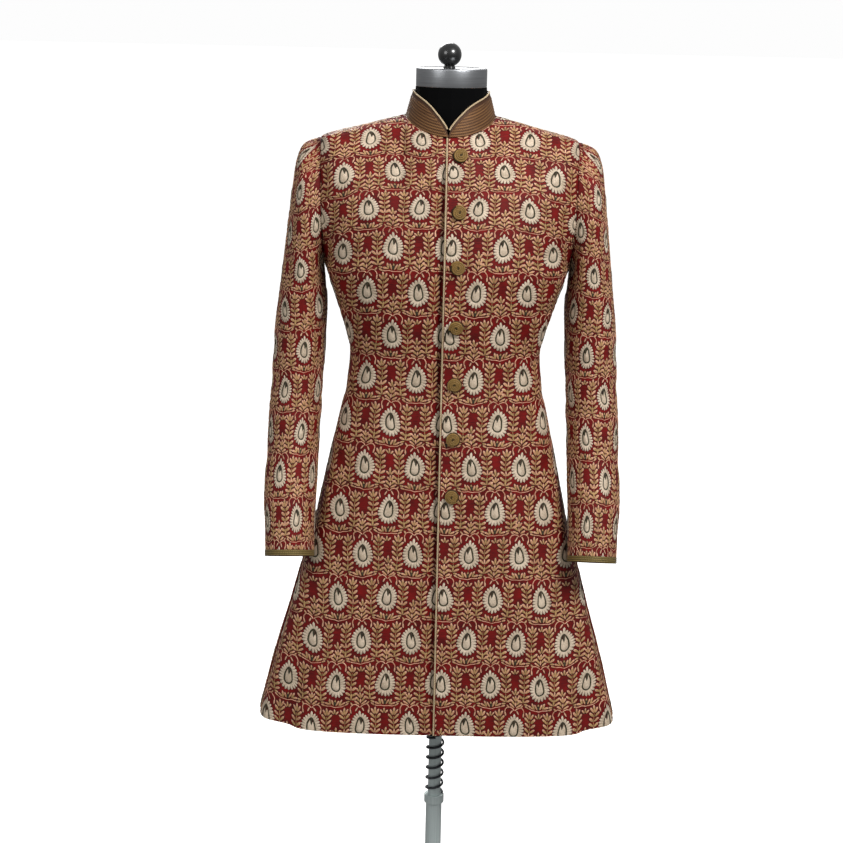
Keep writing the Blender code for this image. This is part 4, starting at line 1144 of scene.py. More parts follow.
def spread_row(lines, scales, us):
    """Spots at even distances on both sides of the sleeve's outer line, and how far each is past the end."""
    row = np.zeros((len(us), 7))
    for line, scale, side in zip(lines, scales, (-1, 1)):
        way = np.concatenate([[0.0], np.cumsum(np.linalg.norm(np.diff(line[:, :3], axis=0), axis=1))]) * scale
        here = us * side >= 0
        held = np.clip(np.abs(us[here]), 0, way[-1])
        for axis in range(6):
            row[here, axis] = np.interp(held, way, line[:, axis])
        row[here, BEYOND] = np.abs(us[here]) - held
    return row


def sleeve_lattice(cloth):
    """The same for a sleeve. Its rings serve as rows up to the armpit; above, each row is a level line."""
    us = even_stops(np.array([-HALF_ROUND_MM, HALF_ROUND_MM]))
    spots = np.concatenate([cloth.grid, cloth.normals], axis=2)
    halves = [spots[:, FRONT_HALF], spots[:, BACK_HALF]]
    outer_line = halves[0][:, 0]
    rows, heights = [], []
    for number in range(len(spots)):
        if outer_line[number, 2] > LEVEL_FROM_Z:
            break
        lines = [half[number] for half in halves]
        lengths = [np.linalg.norm(np.diff(line[:, :3], axis=0), axis=1).sum() for line in lines]
        scales = [HALF_ROUND_MM / length for length in lengths]
        rows.append(spread_row(lines, scales, us))
        heights.append(cloth.up[number].mean())
    join = rows[-1][:, 2] * 1000 - heights[-1]
    heights = [np.full(len(us), height) for height in heights]
    climb = None
    for z in np.arange(LEVEL_FROM_Z + LEVEL_STEP, outer_line[-1, 2] - 0.001, LEVEL_STEP):
        row = spread_row([level_line(half, z) for half in halves], scales, us)
        if climb is None:
            climb = np.full(len(us), z * 1000)
        else:
            steps = np.linalg.norm(row[:, PLACE] - rows[-1][:, PLACE], axis=1)
            climb = climb + np.maximum(LEVEL_STEP, LEVEL_CLIMB * steps) * 1000
        rows.append(row)
        heights.append(climb - join * (1 - smooth_step(z, LEVEL_FROM_Z, LEVEL_FROM_Z + JOIN_FADE)))
    up = np.interp(np.array(heights), SLEEVE_ROW_HEIGHTS, np.arange(len(SLEEVE_ROW_HEIGHTS)) * ROW_PITCH_MM)
    rows = np.array(rows)
    rows = np.concatenate([rows, up[:, :, None]], axis=2)
    vs = even_stops(up)
    return us[0], vs[0], columns_by_height(rows, vs)


def read_lattice(lattice, u, v):
    u_start, v_start, values = lattice
    across = np.clip((u - u_start) / LATTICE_MM, 0, values.shape[1] - 1.001)
    up = np.clip((v - v_start) / LATTICE_MM, 0, values.shape[0] - 1.001)
    column, row = across.astype(int), up.astype(int)
    a, b = (across - column)[..., None], (up - row)[..., None]
    low = values[row, column] * (1 - a) + values[row, column + 1] * a
    high = values[row + 1, column] * (1 - a) + values[row + 1, column + 1] * a
    return low * (1 - b) + high * b


print("lattice pitch", LATTICE_MM, "mm")

# %% [markdown]
# ### Silk floss
#
# Floss is untwisted silk. Laid in satin stitch it shines along each thread and shows fine stripes across
# the leaf; the threads are about 0.3 mm apart and are drawn at 0.8 mm. Each colour was dyed in several
# batches, so it wanders a little over the coat. The dark maroon edge round every leaf is painted shade, where
# the foot of each cushion would be in shadow.


# %% Threads
def floss(name, dark_hex, light_hex, roughness=0.5, sheen=0.06):
    thread, shader = new_finish(
        name, Roughness=roughness, Specular_IOR_Level=0.3, Sheen_Weight=sheen, Sheen_Roughness=0.35
    )
    uv = add_node(thread, "ShaderNodeUVMap", uv_map="cloth_metres").outputs["UV"]
    place = add_node(thread, "ShaderNodeTexCoord").outputs["Object"]
    stitches = add_node(
        thread, "ShaderNodeTexWave", {"Vector": uv, "Scale": wave_scale(THREAD_MM), "Distortion": 0.8},
        bands_direction="Y",
    )
    batch = add_node(thread, "ShaderNodeTexNoise", {"Vector": place, "Scale": 55.0, "Detail": 2.0})
    grain = add_node(thread, "ShaderNodeTexNoise", {"Vector": place, "Scale": 420.0, "Detail": 1.0})
    mixed = add_node(thread, "ShaderNodeMix", {0: 0.45, 2: batch.outputs["Fac"], 3: grain.outputs["Fac"]})
    mixed = add_node(thread, "ShaderNodeMix", {0: 0.22, 2: mixed.outputs[0], 3: stitches.outputs["Fac"]})
    spread = add_node(thread, "ShaderNodeMapRange", {0: mixed.outputs[0], 1: 0.37, 2: 0.63})
    tone = two_tones(thread, spread.outputs[0], dark_hex, light_hex)
    into(thread, tone.outputs["Color"], shader, "Base Color")
    bump = add_node(
        thread, "ShaderNodeBump", {"Height": stitches.outputs["Fac"], "Strength": 0.4, "Distance": 0.0002}
    )
    into(thread, bump.outputs["Normal"], shader, "Normal")
    return thread


THREAD_MM = 0.8
THREADS = [
    # The first finish is no real thread: its dark maroon is painted shade round the foot of each leaf.
    floss("couching_thread_maroon", "#240504", "#3c0a06", roughness=0.75, sheen=0.0),
    floss("silk_floss_cream", "#ab977f", "#e0cdb6"),
    floss("silk_floss_peach", "#ad7557", "#e6b394"),
    floss("silk_floss_khaki", "#83643b", "#c39a68"),
    floss("silk_floss_tan", "#956845", "#d19f77"),
    floss("silk_floss_dark_green", "#222016", "#47432d", roughness=0.65),
]
print("threads", [thread.name for thread in THREADS])

# %% Stitching
JITTER_MM = 0.8
JITTER_DEG = 2.0
WAVE_UP_MM, WAVE_ACROSS_MM = 6.0, 5.0
INSIDE_MM = 0.2
EDGE_SLACK_MM = 4.0
A_COLUMN_MM = {"front": 48.0, "back": 42.5, "sleeve": 0.0}


def motif_places(kind, us, vs):
    """The middle of every repeat that may touch this cloth: A rows and, half a repeat aside, B rows."""
    places = []
    for row in range(int(vs.min() // ROW_PITCH_MM) - 1, int(vs.max() // ROW_PITCH_MM) + 3):
        shift = A_COLUMN_MM[kind] + (0.0 if row % 2 == 1 else COLUMN_PITCH_MM / 2)
        first = math.floor((us.min() - shift) / COLUMN_PITCH_MM)
        last = math.floor((us.max() - shift) / COLUMN_PITCH_MM) + 1
        columns = range(first, last + 1)
        places += [(shift + column * COLUMN_PITCH_MM, row * ROW_PITCH_MM) for column in columns]
    return np.array(places)


SLEEVE_TURN = ((1040, 0), (1390, 35))
SLEEVE_DROOP = ((1040, 0), (1400, 27))
SLEEVE_CLOSE = ((1160, 1.0), (1390, 0.75))
CLOSE_AT_MM = -60.0
SLEEVE_SPARE_MM = 80.0


def lean_on_sleeve(u, v):
    """The sleeve is pitched forward, so its rows turn and droop towards the outer line as they climb."""
    heights = np.interp(v, np.arange(len(SLEEVE_ROW_HEIGHTS)) * ROW_PITCH_MM, SLEEVE_ROW_HEIGHTS)
    u = CLOSE_AT_MM + (u - CLOSE_AT_MM) * np.interp(heights, *zip(*SLEEVE_CLOSE))
    u += np.interp(heights, *zip(*SLEEVE_TURN))
    return u, v - np.interp(heights, *zip(*SLEEVE_DROOP)) * np.cos(math.pi * u / HALF_ROUND_MM)


def stitch(name, kind, seed, least_across=None):
    """Embroiders one cloth piece with every repeat of the chart."""
    cloth = cloths[name]
    points, uvs, quads, tris, quad_threads, tri_threads = sleeve_chart if kind == "sleeve" else body_chart
    lattice = sleeve_lattice(cloth) if kind == "sleeve" else panel_lattice(cloth, least_across)
    u_start, v_start, values = lattice
    reach = np.array([LATTICE_MARGIN_MM, -LATTICE_MARGIN_MM])
    us = reach + [u_start, u_start + LATTICE_MM * values.shape[1]]
    vs = reach + [v_start, v_start + LATTICE_MM * values.shape[0]]
    if kind == "sleeve":
        us = us + SLEEVE_SPARE_MM * np.array([-1, 1])
    places = motif_places(kind, us, vs)
    random = np.random.default_rng(seed)
    count, size = len(places), len(points)
    turn = np.radians(random.uniform(-JITTER_DEG, JITTER_DEG, count))[:, None]
    wave = random.uniform(0, math.tau, (2, count, 1))
    x, y = points[None, :, 0], points[None, :, 1]
    u = places[:, :1] + x * np.cos(turn) - y * np.sin(turn) + JITTER_MM * np.sin(y / WAVE_UP_MM + wave[0])
    v = places[:, 1:] + x * np.sin(turn) + y * np.cos(turn) + JITTER_MM * np.sin(x / WAVE_ACROSS_MM + wave[1])
    if kind == "sleeve":
        u, v = lean_on_sleeve(u, v)
    spots = read_lattice(lattice, u, v)
    heights = np.maximum(points[None, :, 2], SUNK_MM)[..., None] / 1000
    laid = (spots[..., PLACE] + unit(spots[..., TURNED]) * heights).reshape(-1, 3)
    beyond = spots[..., BEYOND].reshape(-1)
    starts = (np.arange(count) * size)[:, None, None]
    kept = []
    for faces, threads in ((quads, quad_threads), (tris, tri_threads)):
        all_faces = (faces[None] + starts).reshape(-1, faces.shape[1])
        past = beyond[all_faces]
        inside = (past.min(axis=1) < INSIDE_MM) & (past.max(axis=1) < EDGE_SLACK_MM)
        all_faces = all_faces[inside]
        kept.append((all_faces[:, ::-1] if cloth.outward < 0 else all_faces, np.tile(threads, count)[inside]))
    used, numbers = np.unique(np.concatenate([kept[0][0].ravel(), kept[1][0].ravel()]), return_inverse=True)
    split = kept[0][0].size
    all_uvs = np.tile(uvs, (count, 1))[used] / 1000
    piece = new_piece(
        name + "_embroidery", laid[used], numbers[:split].reshape(-1, 4), THREADS,
        tris=numbers[split:].reshape(-1, 3), slots=np.concatenate([kept[0][1], kept[1][1]]),
        uvs=all_uvs, sharp_deg=70.0,
    )
    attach(piece, COAT_BODY)
    print(name, "repeats", count, "triangles", 2 * len(kept[0][0]) + len(kept[1][0]))


HIDDEN_UNDER_PIPING_MM = 4.6
stitch("front_left", "front", 11, least_across=-3.6)
stitch("front_right", "front", 12, least_across=HIDDEN_UNDER_PIPING_MM)
stitch("back_left", "back", 13)
stitch("back_right", "back", 14)
stitch("sleeve_left", "sleeve", 15)
stitch("sleeve_right", "sleeve", 16)

# %% [markdown]
# ## Collar, pipings and cuff bands
#
# The stand collar is stiffened and covered with rows of gold cord, side by side along its length. The cords
# are real relief, a millimetre proud, so they are part of the collar's grid, which has a few rows for each
# cord. A thin cream-gold piping finishes the collar's upper edge and the coat's front edge.

# %% The collar's shape
CollarHeight = namedtuple("CollarHeight", "neck_deg height")
COLLAR_HEIGHTS = [
    CollarHeight(0, 0.003),
    CollarHeight(4, 0.014),
    CollarHeight(12, 0.026),
    CollarHeight(20, 0.034),
    CollarHeight(30, 0.041),
    CollarHeight(45, 0.044),
    CollarHeight(70, 0.041),
    CollarHeight(90, 0.038),
    CollarHeight(130, 0.038),
    CollarHeight(180, 0.041),
]
COLLAR_LEAN = 0.26
COLLAR_WALL = 0.003
COLLAR_CORD_MM = 4.5
CORD_PROUD = 0.0011
BINDING = 0.0055
COLLAR_ROWS = 45
PIPING_RADIUS = 0.0015


def collar_feet():
    """The collar's foot from the left front's edge round the back to the right front's edge."""
    edge_deg = math.degrees(math.asin(-FRONT_EDGE_X / NECK_HALF_WIDTH))
    feet = []
    for side, start in ((1, -edge_deg), (-1, edge_deg)):
        front = [(neckline_point("front", deg), deg + side * edge_deg) for deg in np.linspace(start, 90, 56)]
        back = [(neckline_point("back", deg), 180 - deg) for deg in np.linspace(90, 0, 38)[1:]]
        half = [(point * np.array([side, 1.0, 1.0]), deg) for point, deg in front + back]
        feet += half if side == 1 else half[-2::-1]
    return feet


def collar_grid(offset, with_cords):
    """Rows up the collar at this distance outside its inner face, and the way along and up it in mm."""
    middle = np.array([0.0, NECK_MIDDLE_Y, 0.0])
    grid, along, up = [], [], []
    way, last = 0.0, None
    for foot, edge_deg in collar_feet():
        height = smooth_table(COLLAR_HEIGHTS, "neck_deg", edge_deg).height
        outward = unit((foot - middle) * np.array([1.0, 1.0, 0.0]))
        way += 0.0 if last is None else float(np.linalg.norm(foot - last)) * 1000
        last = foot
        rises = height * np.linspace(0, 1, COLLAR_ROWS + 1)
        share = (rises * 1000 / COLLAR_CORD_MM) % 1.0
        proud = CORD_PROUD * np.sqrt(np.maximum(1 - (2 * share - 1) ** 2, 0)) if with_cords else 0 * rises
        proud = proud * smooth_step(height - rises, BINDING - 0.001, BINDING + 0.001)
        reach = offset - COLLAR_LEAN * rises - COLLAR_WALL + proud
        upwards = np.stack([0 * rises, 0 * rises, SEAM_GAP + rises], axis=1)
        grid.append(foot + outward * reach[:, None] + upwards)
        along.append(np.full(len(rises), way))
        up.append(np.where(height - rises < BINDING, 0.0, rises * 1000))
    return np.array(grid).transpose(1, 0, 2), np.array(along).T, np.array(up).T


collar_outer, collar_along, collar_up = collar_grid(COLLAR_WALL - CORD_PROUD, with_cords=True)
collar_inner, _, _ = collar_grid(0.0, with_cords=False)
for edge_grid in (collar_outer, collar_inner):
    edge_grid[:, 0, 0] = FRONT_EDGE_X + SEAM_GAP / 2
    edge_grid[:, -1, 0] = FRONT_EDGE_X - SEAM_GAP / 2
print("collar round", round(collar_along.max()), "mm")

# %% [markdown]
# ### Gold cord and braid
#
# Zari cord is fine gilt wire wound on a cotton core, so its highlights are broken into short slanting
# dashes. It has dulled to bronze, with painted shade in the grooves between rows. Slanting waves give the
# twist, drawn at 2 mm, and noise along each row lets some rows run warmer than others.


# %% Gilt cord
def gilt_cord(name, dark_hex, light_hex, twist_mm, slant, metallic=0.25, roughness=0.5, row_mm=None):
    cord, shader = new_finish(name, Roughness=roughness, Metallic=metallic, Specular_IOR_Level=0.25)
    uv = add_node(cord, "ShaderNodeUVMap", uv_map="cloth_metres").outputs["UV"]
    place = add_node(cord, "ShaderNodeTexCoord").outputs["Object"]
    leaned = add_node(cord, "ShaderNodeMapping", {"Vector": uv, "Rotation": (0, 0, math.radians(slant))})
    twist = add_node(
        cord, "ShaderNodeTexWave",
        {"Vector": leaned.outputs[0], "Scale": wave_scale(twist_mm), "Distortion": 0.5},
    )
    stretch = add_node(cord, "ShaderNodeMapping", {"Vector": uv, "Scale": (14, 190, 1)})
    rows = add_node(cord, "ShaderNodeTexNoise", {"Vector": stretch.outputs[0], "Scale": 1.0, "Detail": 1.0})
    grain = add_node(cord, "ShaderNodeTexNoise", {"Vector": place, "Scale": 520.0})
    mixed = add_node(cord, "ShaderNodeMix", {0: 0.35, 2: rows.outputs["Fac"], 3: grain.outputs["Fac"]})
    mixed = add_node(cord, "ShaderNodeMix", {0: 0.38, 2: mixed.outputs[0], 3: twist.outputs["Fac"]})
    share = add_node(cord, "ShaderNodeMapRange", {0: mixed.outputs[0], 1: 0.3, 2: 0.7}).outputs[0]
    # With row_mm, the colour is pulled towards the dark tone in the grooves between rows: painted shade.
    if row_mm:
        level = add_node(cord, "ShaderNodeSeparateXYZ", {0: uv}).outputs["Y"]
        turns = add_node(cord, "ShaderNodeMath", {0: level, 1: math.pi * 1000 / row_mm}, operation="MULTIPLY")
        crest = add_node(cord, "ShaderNodeMath", {0: turns.outputs[0]}, operation="SINE")
        crest = add_node(cord, "ShaderNodeMath", {0: crest.outputs[0]}, operation="ABSOLUTE")
        crest = add_node(cord, "ShaderNodeMapRange", {0: crest.outputs[0], 1: 0.25, 2: 0.95})
        groove_shaded = add_node(cord, "ShaderNodeMath", {0: share, 1: crest.outputs[0]}, operation="MULTIPLY")
        share = groove_shaded.outputs[0]
    tone = two_tones(cord, share, dark_hex, light_hex)
    into(cord, tone.outputs["Color"], shader, "Base Color")
    bump = add_node(
        cord, "ShaderNodeBump", {"Height": twist.outputs["Fac"], "Strength": 0.5, "Distance": 0.0004}
    )
    into(cord, bump.outputs["Normal"], shader, "Normal")
    return cord


collar_cord = gilt_cord("gilt_cord_bronze", "#452b19", "#956c42", 2.0, 55, row_mm=COLLAR_CORD_MM)
piping_cord = gilt_cord("gilt_piping_cream", "#94795a", "#d9c6a2", 2.2, 40, metallic=0.05)
braid_gold = gilt_cord("gilt_braid_olive", "#4f4224", "#a08a52", 2.0, 45, row_mm=3.3)
button_cord = gilt_cord("gilt_button_cord", "#57401f", "#a8864c", 1.6, 60, metallic=0.1)
collar_uvs = np.stack([collar_along, collar_up], axis=-1) / 1000
collar = cloth_wall("collar_corded", collar_outer, collar_inner, collar_uvs, collar_cord, 1)
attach(collar, COAT_BODY)
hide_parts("collar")
print("collar", len(collar.data.polygons), "faces")


# %% Round cords
def round_cord(
    name, line, radius, finish, sides=10, frame_up=(0.0, 0.0, 1.0), body=COAT_BODY, closed_ends=True
):
    """A round cord along a line of points, closed at both ends, with a UV along and round it."""
    line = np.array(line, dtype=float)
    radii = np.broadcast_to(radius, len(line))
    ahead = unit(np.gradient(line, axis=0))
    frame_up = np.broadcast_to(np.array(frame_up, dtype=float), line.shape)
    up = unit(frame_up - (ahead * frame_up).sum(axis=1, keepdims=True) * ahead)
    across = np.cross(ahead, up)
    turns = np.linspace(0, math.tau, sides, endpoint=False)
    ring = np.cos(turns)[None, :, None] * across[:, None] + np.sin(turns)[None, :, None] * up[:, None]
    points = line[:, None] + ring * radii[:, None, None]
    way = np.concatenate([[0.0], np.cumsum(np.linalg.norm(np.diff(line, axis=0), axis=1))])
    way_round = (turns * float(radii.mean()))[None]
    uvs = np.stack(np.broadcast_arrays(way[:, None], way_round), axis=-1).reshape(-1, 2)
    count = len(line) * sides
    points = np.concatenate([points.reshape(-1, 3), line[:1], line[-1:]])
    uvs = np.concatenate([uvs, uvs[:1], uvs[-1:]])
    step = np.arange(sides)
    after = (step + 1) % sides
    first = np.stack([after, step, np.full(sides, count)], axis=1)
    last = np.stack([step, after, np.full(sides, count + 1)], axis=1)
    last[:, :2] += count - sides
    quads = grid_quads(len(line), sides, closed=True)
    piece = new_piece(name, points, quads, [finish], tris=np.concatenate([first, last]), uvs=uvs)
    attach(piece, body)
    return piece


def past_x(line, limit):
    """The line without the stretch at its start that lies below x = limit."""
    first = int(np.argmax(line[:, 0] > limit))
    before, after = line[first - 1], line[first]
    crossing = before + (after - before) * (limit - before[0]) / (after[0] - before[0])
    return np.concatenate([[crossing], line[first:]])


smooth_top, _, _ = collar_grid(COLLAR_WALL, with_cords=False)
top_line = (smooth_top[-1] + collar_inner[-1]) / 2
below_line = (smooth_top[-2] + collar_inner[-2]) / 2
top_ahead = unit(np.gradient(top_line, axis=0))
top_rise = unit(top_line - below_line)
top_rise = unit(top_rise - (top_rise * top_ahead).sum(axis=1, keepdims=True) * top_ahead)
piping_line = top_line + top_rise * (PIPING_RADIUS + 2 * SEAM_GAP)
clear = PIPING_RADIUS + SEAM_GAP
piping_line = past_x(piping_line, FRONT_EDGE_X + clear)
piping_line = past_x(piping_line[::-1] * MIRROR, -(FRONT_EDGE_X - clear))[::-1] * MIRROR
collar_piping = round_cord("collar_piping_cord", piping_line, PIPING_RADIUS, piping_cord)
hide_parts("collar_piping")

front_edge = cloths["front_left"].grid[:-1, 0]
edge_ahead = unit(np.gradient(front_edge, axis=0))
edge_out = unit(np.cross(edge_ahead, np.array([1.0, 0.0, 0.0])))
edge_out *= np.sign(-edge_out[:, 1:2])
piping_aside = np.array([-(PIPING_RADIUS + SEAM_GAP), 0.0, 0.0])
piping_edge = front_edge + piping_aside - edge_out * (CLOTH - PIPING_RADIUS)
front_piping = round_cord("front_piping_cord", piping_edge, PIPING_RADIUS, piping_cord, frame_up=(0, -1, 0))
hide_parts("front_piping")
print("piping up the front", round(float(np.linalg.norm(np.diff(piping_edge, axis=0), axis=1).sum()), 3), "m")

# %% [markdown]
# ### Cuff bands
#
# A flat gilt braid, a centimetre wide, is sewn round each cuff. It has three fine cords woven side by side.
# It is a short closed sleeve of its own, just outside the cloth, with the three cords as soft ridges.

# %% Cuff bands
BAND_THICKNESS = 0.0012
BAND_CORDS = 3
BAND_ROWS = 19
BAND_WIDTH_MM = 10.4
BAND_REACH = 12  # the sleeve's lowest rows, which the band lies on
BAND_PROUD = 0.0005


def lay_band(side):
    cloth = cloths["sleeve_" + side]
    steps = np.linalg.norm(np.diff(cloth.grid[:BAND_REACH].mean(axis=1), axis=0), axis=1)
    way = np.cumsum(np.concatenate([[0.0], steps])) * 1000
    stops = np.linspace(0, BAND_WIDTH_MM, BAND_ROWS)
    base, out = (
        np.array([
            [np.interp(stops, way, layer[:BAND_REACH, k, axis]) for axis in range(3)]
            for k in range(SLEEVE_SIDES)
        ]).transpose(2, 0, 1)
        for layer in (cloth.grid, cloth.normals)
    )
    ridge = np.abs(np.sin(math.pi * BAND_CORDS * stops / BAND_WIDTH_MM))[:, None, None]
    inner = base + out * SEAM_GAP
    outer = base + out * (SEAM_GAP + BAND_THICKNESS - BAND_PROUD + BAND_PROUD * ridge)
    girth = np.linalg.norm(np.diff(base, axis=1), axis=-1).sum(axis=1).mean()
    turns = np.broadcast_to(np.arange(SLEEVE_SIDES) / SLEEVE_SIDES * girth, base.shape[:2])
    uvs = np.stack([turns, np.broadcast_to(stops[:, None] / 1000, base.shape[:2])], axis=-1)
    band = cloth_wall("cuff_braid_" + side, outer, inner, uvs, braid_gold, cloth.outward, closed=True)
    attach(band, COAT_BODY)
    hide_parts("cuff_band_" + side)
    return band, girth


bands = {side: lay_band(side) for side in ("left", "right")}
print("cuff round", round(bands["left"][1] * 1000), "mm")

# %% [markdown]
# ## Buttons
#
# The buttons are domed moulds covered with wound gilt cord, which circles out from a dark middle. One
# button is modelled flat on its back: a sphere is cut in half and flattened for the mould, and a cord is
# wound over it in a spiral. The two are joined, and seven copies are set on the front, each square to the
# cloth under it. They hold the coat shut, so nothing moves them.

# %% One button
BUTTON_HEIGHTS = (1.441, 1.351, 1.261, 1.160, 1.061, 0.968, 0.870)
BUTTON_INSET = 0.020
BUTTON_RADIUS = 0.0128
BUTTON_RISE = 0.009
WIND_RADIUS = 0.00155
WIND_TURNS = 3.1
WIND_START = 0.0021
MOULD_SHARE = 0.86


def edit(piece):
    """Opens a piece alone in edit mode, with nothing selected."""
    bpy.ops.object.mode_set(mode="OBJECT") if bpy.context.mode != "OBJECT" else None
    bpy.ops.object.select_all(action="DESELECT")
    bpy.context.view_layer.objects.active = piece
    piece.select_set(True)
    bpy.ops.object.mode_set(mode="EDIT")
    bpy.ops.mesh.select_all(action="DESELECT")


def apply_place(piece):
    bpy.ops.object.select_all(action="DESELECT")
    bpy.context.view_layer.objects.active = piece
    piece.select_set(True)
    bpy.ops.object.transform_apply(location=True, rotation=True, scale=True)


bpy.ops.object.select_all(action="DESELECT")
bpy.ops.mesh.primitive_uv_sphere_add(segments=40, ring_count=24, radius=BUTTON_RADIUS, location=(0, 0, 0))
mould = bpy.context.object
mould.name = "button_mould"
edit(mould)
bpy.ops.mesh.select_all(action="SELECT")
bpy.ops.mesh.bisect(plane_co=(0, 0, 0), plane_no=(0, 0, 1), use_fill=True, clear_inner=True)
bpy.ops.mesh.select_all(action="SELECT")
bpy.ops.transform.resize(
    value=(0.97, 0.97, MOULD_SHARE * BUTTON_RISE / BUTTON_RADIUS * 0.93), center_override=(0, 0, 0)
)
bpy.ops.object.mode_set(mode="OBJECT")
mould.data.uv_layers[0].name = "cloth_metres"
for spot in mould.data.uv_layers[0].data:
    spot.uv *= 2 * BUTTON_RADIUS
button_core = silk_ground("button_core_olive", "#2c2012", "#4a3a20")
mould.data.materials.append(button_core)

spiral = []
WIND_STEPS = 150
for step in range(WIND_STEPS + 1):
    share = step / WIND_STEPS
    reach = WIND_START + (BUTTON_RADIUS - WIND_RADIUS - WIND_START) * share
    turn = math.tau * WIND_TURNS * share
    dome = math.sqrt(max(1 - (reach / BUTTON_RADIUS) ** 2, 0.0))
    spiral_z = WIND_RADIUS * 0.8 + (BUTTON_RISE - 2 * WIND_RADIUS) * dome
    spiral.append((reach * math.cos(turn), reach * math.sin(turn), spiral_z))
winding = round_cord("button_winding", spiral, WIND_RADIUS, button_cord, sides=8)
bpy.ops.object.select_all(action="DESELECT")
winding.select_set(True)
mould.select_set(True)
bpy.context.view_layer.objects.active = mould
bpy.ops.object.join()
mould.data.shade_smooth()
print("button faces", len(mould.data.polygons))


# %% Seven buttons
def front_at(x, z):
    """The left front's outer surface and its outward direction near the front edge."""
    cloth = cloths["front_left"]
    places, outs = [], []
    for row, normal in zip(cloth.grid, cloth.normals):
        places.append([np.interp(x, row[:20, 0], row[:20, axis]) for axis in range(3)])
        outs.append([np.interp(x, row[:20, 0], normal[:20, axis]) for axis in range(3)])
    places, outs = np.array(places), np.array(outs)
    place = np.array([np.interp(z, places[:, 2], places[:, axis]) for axis in range(3)])
    return place, unit(np.array([np.interp(z, places[:, 2], outs[:, axis]) for axis in range(3)]))


BUTTON_SEAT = 0.0006
for number, height in enumerate(BUTTON_HEIGHTS, start=1):
    place, out = front_at(FRONT_EDGE_X + BUTTON_INSET, height)
    button = bpy.data.objects.new(f"button_{number}_wound", mould.data.copy())
    bpy.context.scene.collection.objects.link(button)
    turn = Vector(out).to_track_quat("Z", "Y").to_matrix().to_4x4() @ Matrix.Rotation(0.7 * number, 4, "Z")
    button.data.transform(Matrix.Translation(Vector(place + out * BUTTON_SEAT)) @ turn)
    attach(button, COAT_BODY)
    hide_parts(f"button_{number}")
bpy.data.objects.remove(mould, do_unlink=True)
print("buttons", len(BUTTON_HEIGHTS))

# %% [markdown]
# ## The dress form
#
# The form is a moulded torso in black cotton jersey, which is nearly without lustre. A cap of brushed
# aluminium closes the neck and a black lacquered knob is screwed into it. Cap, knob and base are round, so
# they are turned as on a lathe: a disc is extruded upwards step by step, and each step is scaled to its
# radius.


# %% Turned pieces
def turned_piece(name, profile, sides, finish, body, node, off_x=0.0, sharp_deg=30.0):
    """Turns a solid piece from (radius, height) steps: a disc, extruded and scaled at each one."""
    bpy.ops.object.select_all(action="DESELECT")
    radius, height = profile[0]
    bpy.ops.mesh.primitive_circle_add(
        vertices=sides, radius=radius, fill_type="NGON", location=(0, 0, height)
    )
    piece = bpy.context.object
    piece.name = name
    edit(piece)
    bpy.ops.mesh.select_all(action="SELECT")
    for next_radius, next_height in profile[1:]:
        bpy.ops.mesh.extrude_region_move(TRANSFORM_OT_translate={"value": (0, 0, next_height - height)})
        grow = next_radius / radius
        bpy.ops.transform.resize(value=(grow, grow, 1), center_override=(0, 0, next_height))
        radius, height = next_radius, next_height
    bpy.ops.mesh.select_all(action="SELECT")
    bpy.ops.mesh.normals_make_consistent(inside=False)
    bpy.ops.object.mode_set(mode="OBJECT")
    piece.location.x += off_x
    apply_place(piece)
    piece.data.shade_smooth()
    piece.data.set_sharp_from_angle(angle=math.radians(sharp_deg))
    piece.data.materials.clear()
    piece.data.materials.append(finish)
    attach(piece, body)
    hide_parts(node)
    print(name, len(piece.data.polygons), "faces")
    return piece


# %% Metals, lacquer and jersey
def brushed_metal(name, dark_hex, light_hex, roughness, stretch, bump=0.06, metallic=1.0):
    """Bright metal with fine marks, drawn out as `stretch` says."""
    metal, shader = new_finish(name, Metallic=metallic, Roughness=roughness)
    place = add_node(metal, "ShaderNodeTexCoord").outputs["Object"]
    drawn = add_node(metal, "ShaderNodeMapping", {"Vector": place, "Scale": stretch})
    marks = add_node(metal, "ShaderNodeTexNoise", {"Vector": drawn.outputs[0], "Scale": 1.0, "Detail": 4.0})
    patches = add_node(metal, "ShaderNodeTexNoise", {"Vector": place, "Scale": 22.0})
    tone = two_tones(metal, marks.outputs["Fac"], dark_hex, light_hex)
    into(metal, tone.outputs["Color"], shader, "Base Color")
    worn = add_node(
        metal, "ShaderNodeMapRange", {0: patches.outputs["Fac"], 3: roughness * 0.8, 4: roughness * 1.25}
    )
    into(metal, worn.outputs[0], shader, "Roughness")
    relief = add_node(
        metal, "ShaderNodeBump", {"Height": marks.outputs["Fac"], "Strength": bump, "Distance": 0.0003}
    )
    into(metal, relief.outputs["Normal"], shader, "Normal")
    return metal


def smooth_coat(name, dark_hex, light_hex, roughness, grain_scale, bump, coat=0.0, specular=0.5):
    """Paint, lacquer, rubber or jersey: one colour that wanders a little, with a fine grain."""
    paint, shader = new_finish(
        name, Roughness=roughness, Specular_IOR_Level=specular, Coat_Weight=coat, Coat_Roughness=0.12
    )
    place = add_node(paint, "ShaderNodeTexCoord").outputs["Object"]
    grain = add_node(paint, "ShaderNodeTexNoise", {"Vector": place, "Scale": grain_scale, "Detail": 2.0})
    drift = add_node(paint, "ShaderNodeTexNoise", {"Vector": place, "Scale": 9.0})
    mixed = add_node(paint, "ShaderNodeMix", {0: 0.5, 2: grain.outputs["Fac"], 3: drift.outputs["Fac"]})
    tone = two_tones(paint, mixed.outputs[0], dark_hex, light_hex)
    into(paint, tone.outputs["Color"], shader, "Base Color")
    relief = add_node(
        paint, "ShaderNodeBump", {"Height": grain.outputs["Fac"], "Strength": bump, "Distance": 0.0003}
    )
    into(paint, relief.outputs["Normal"], shader, "Normal")
    return paint


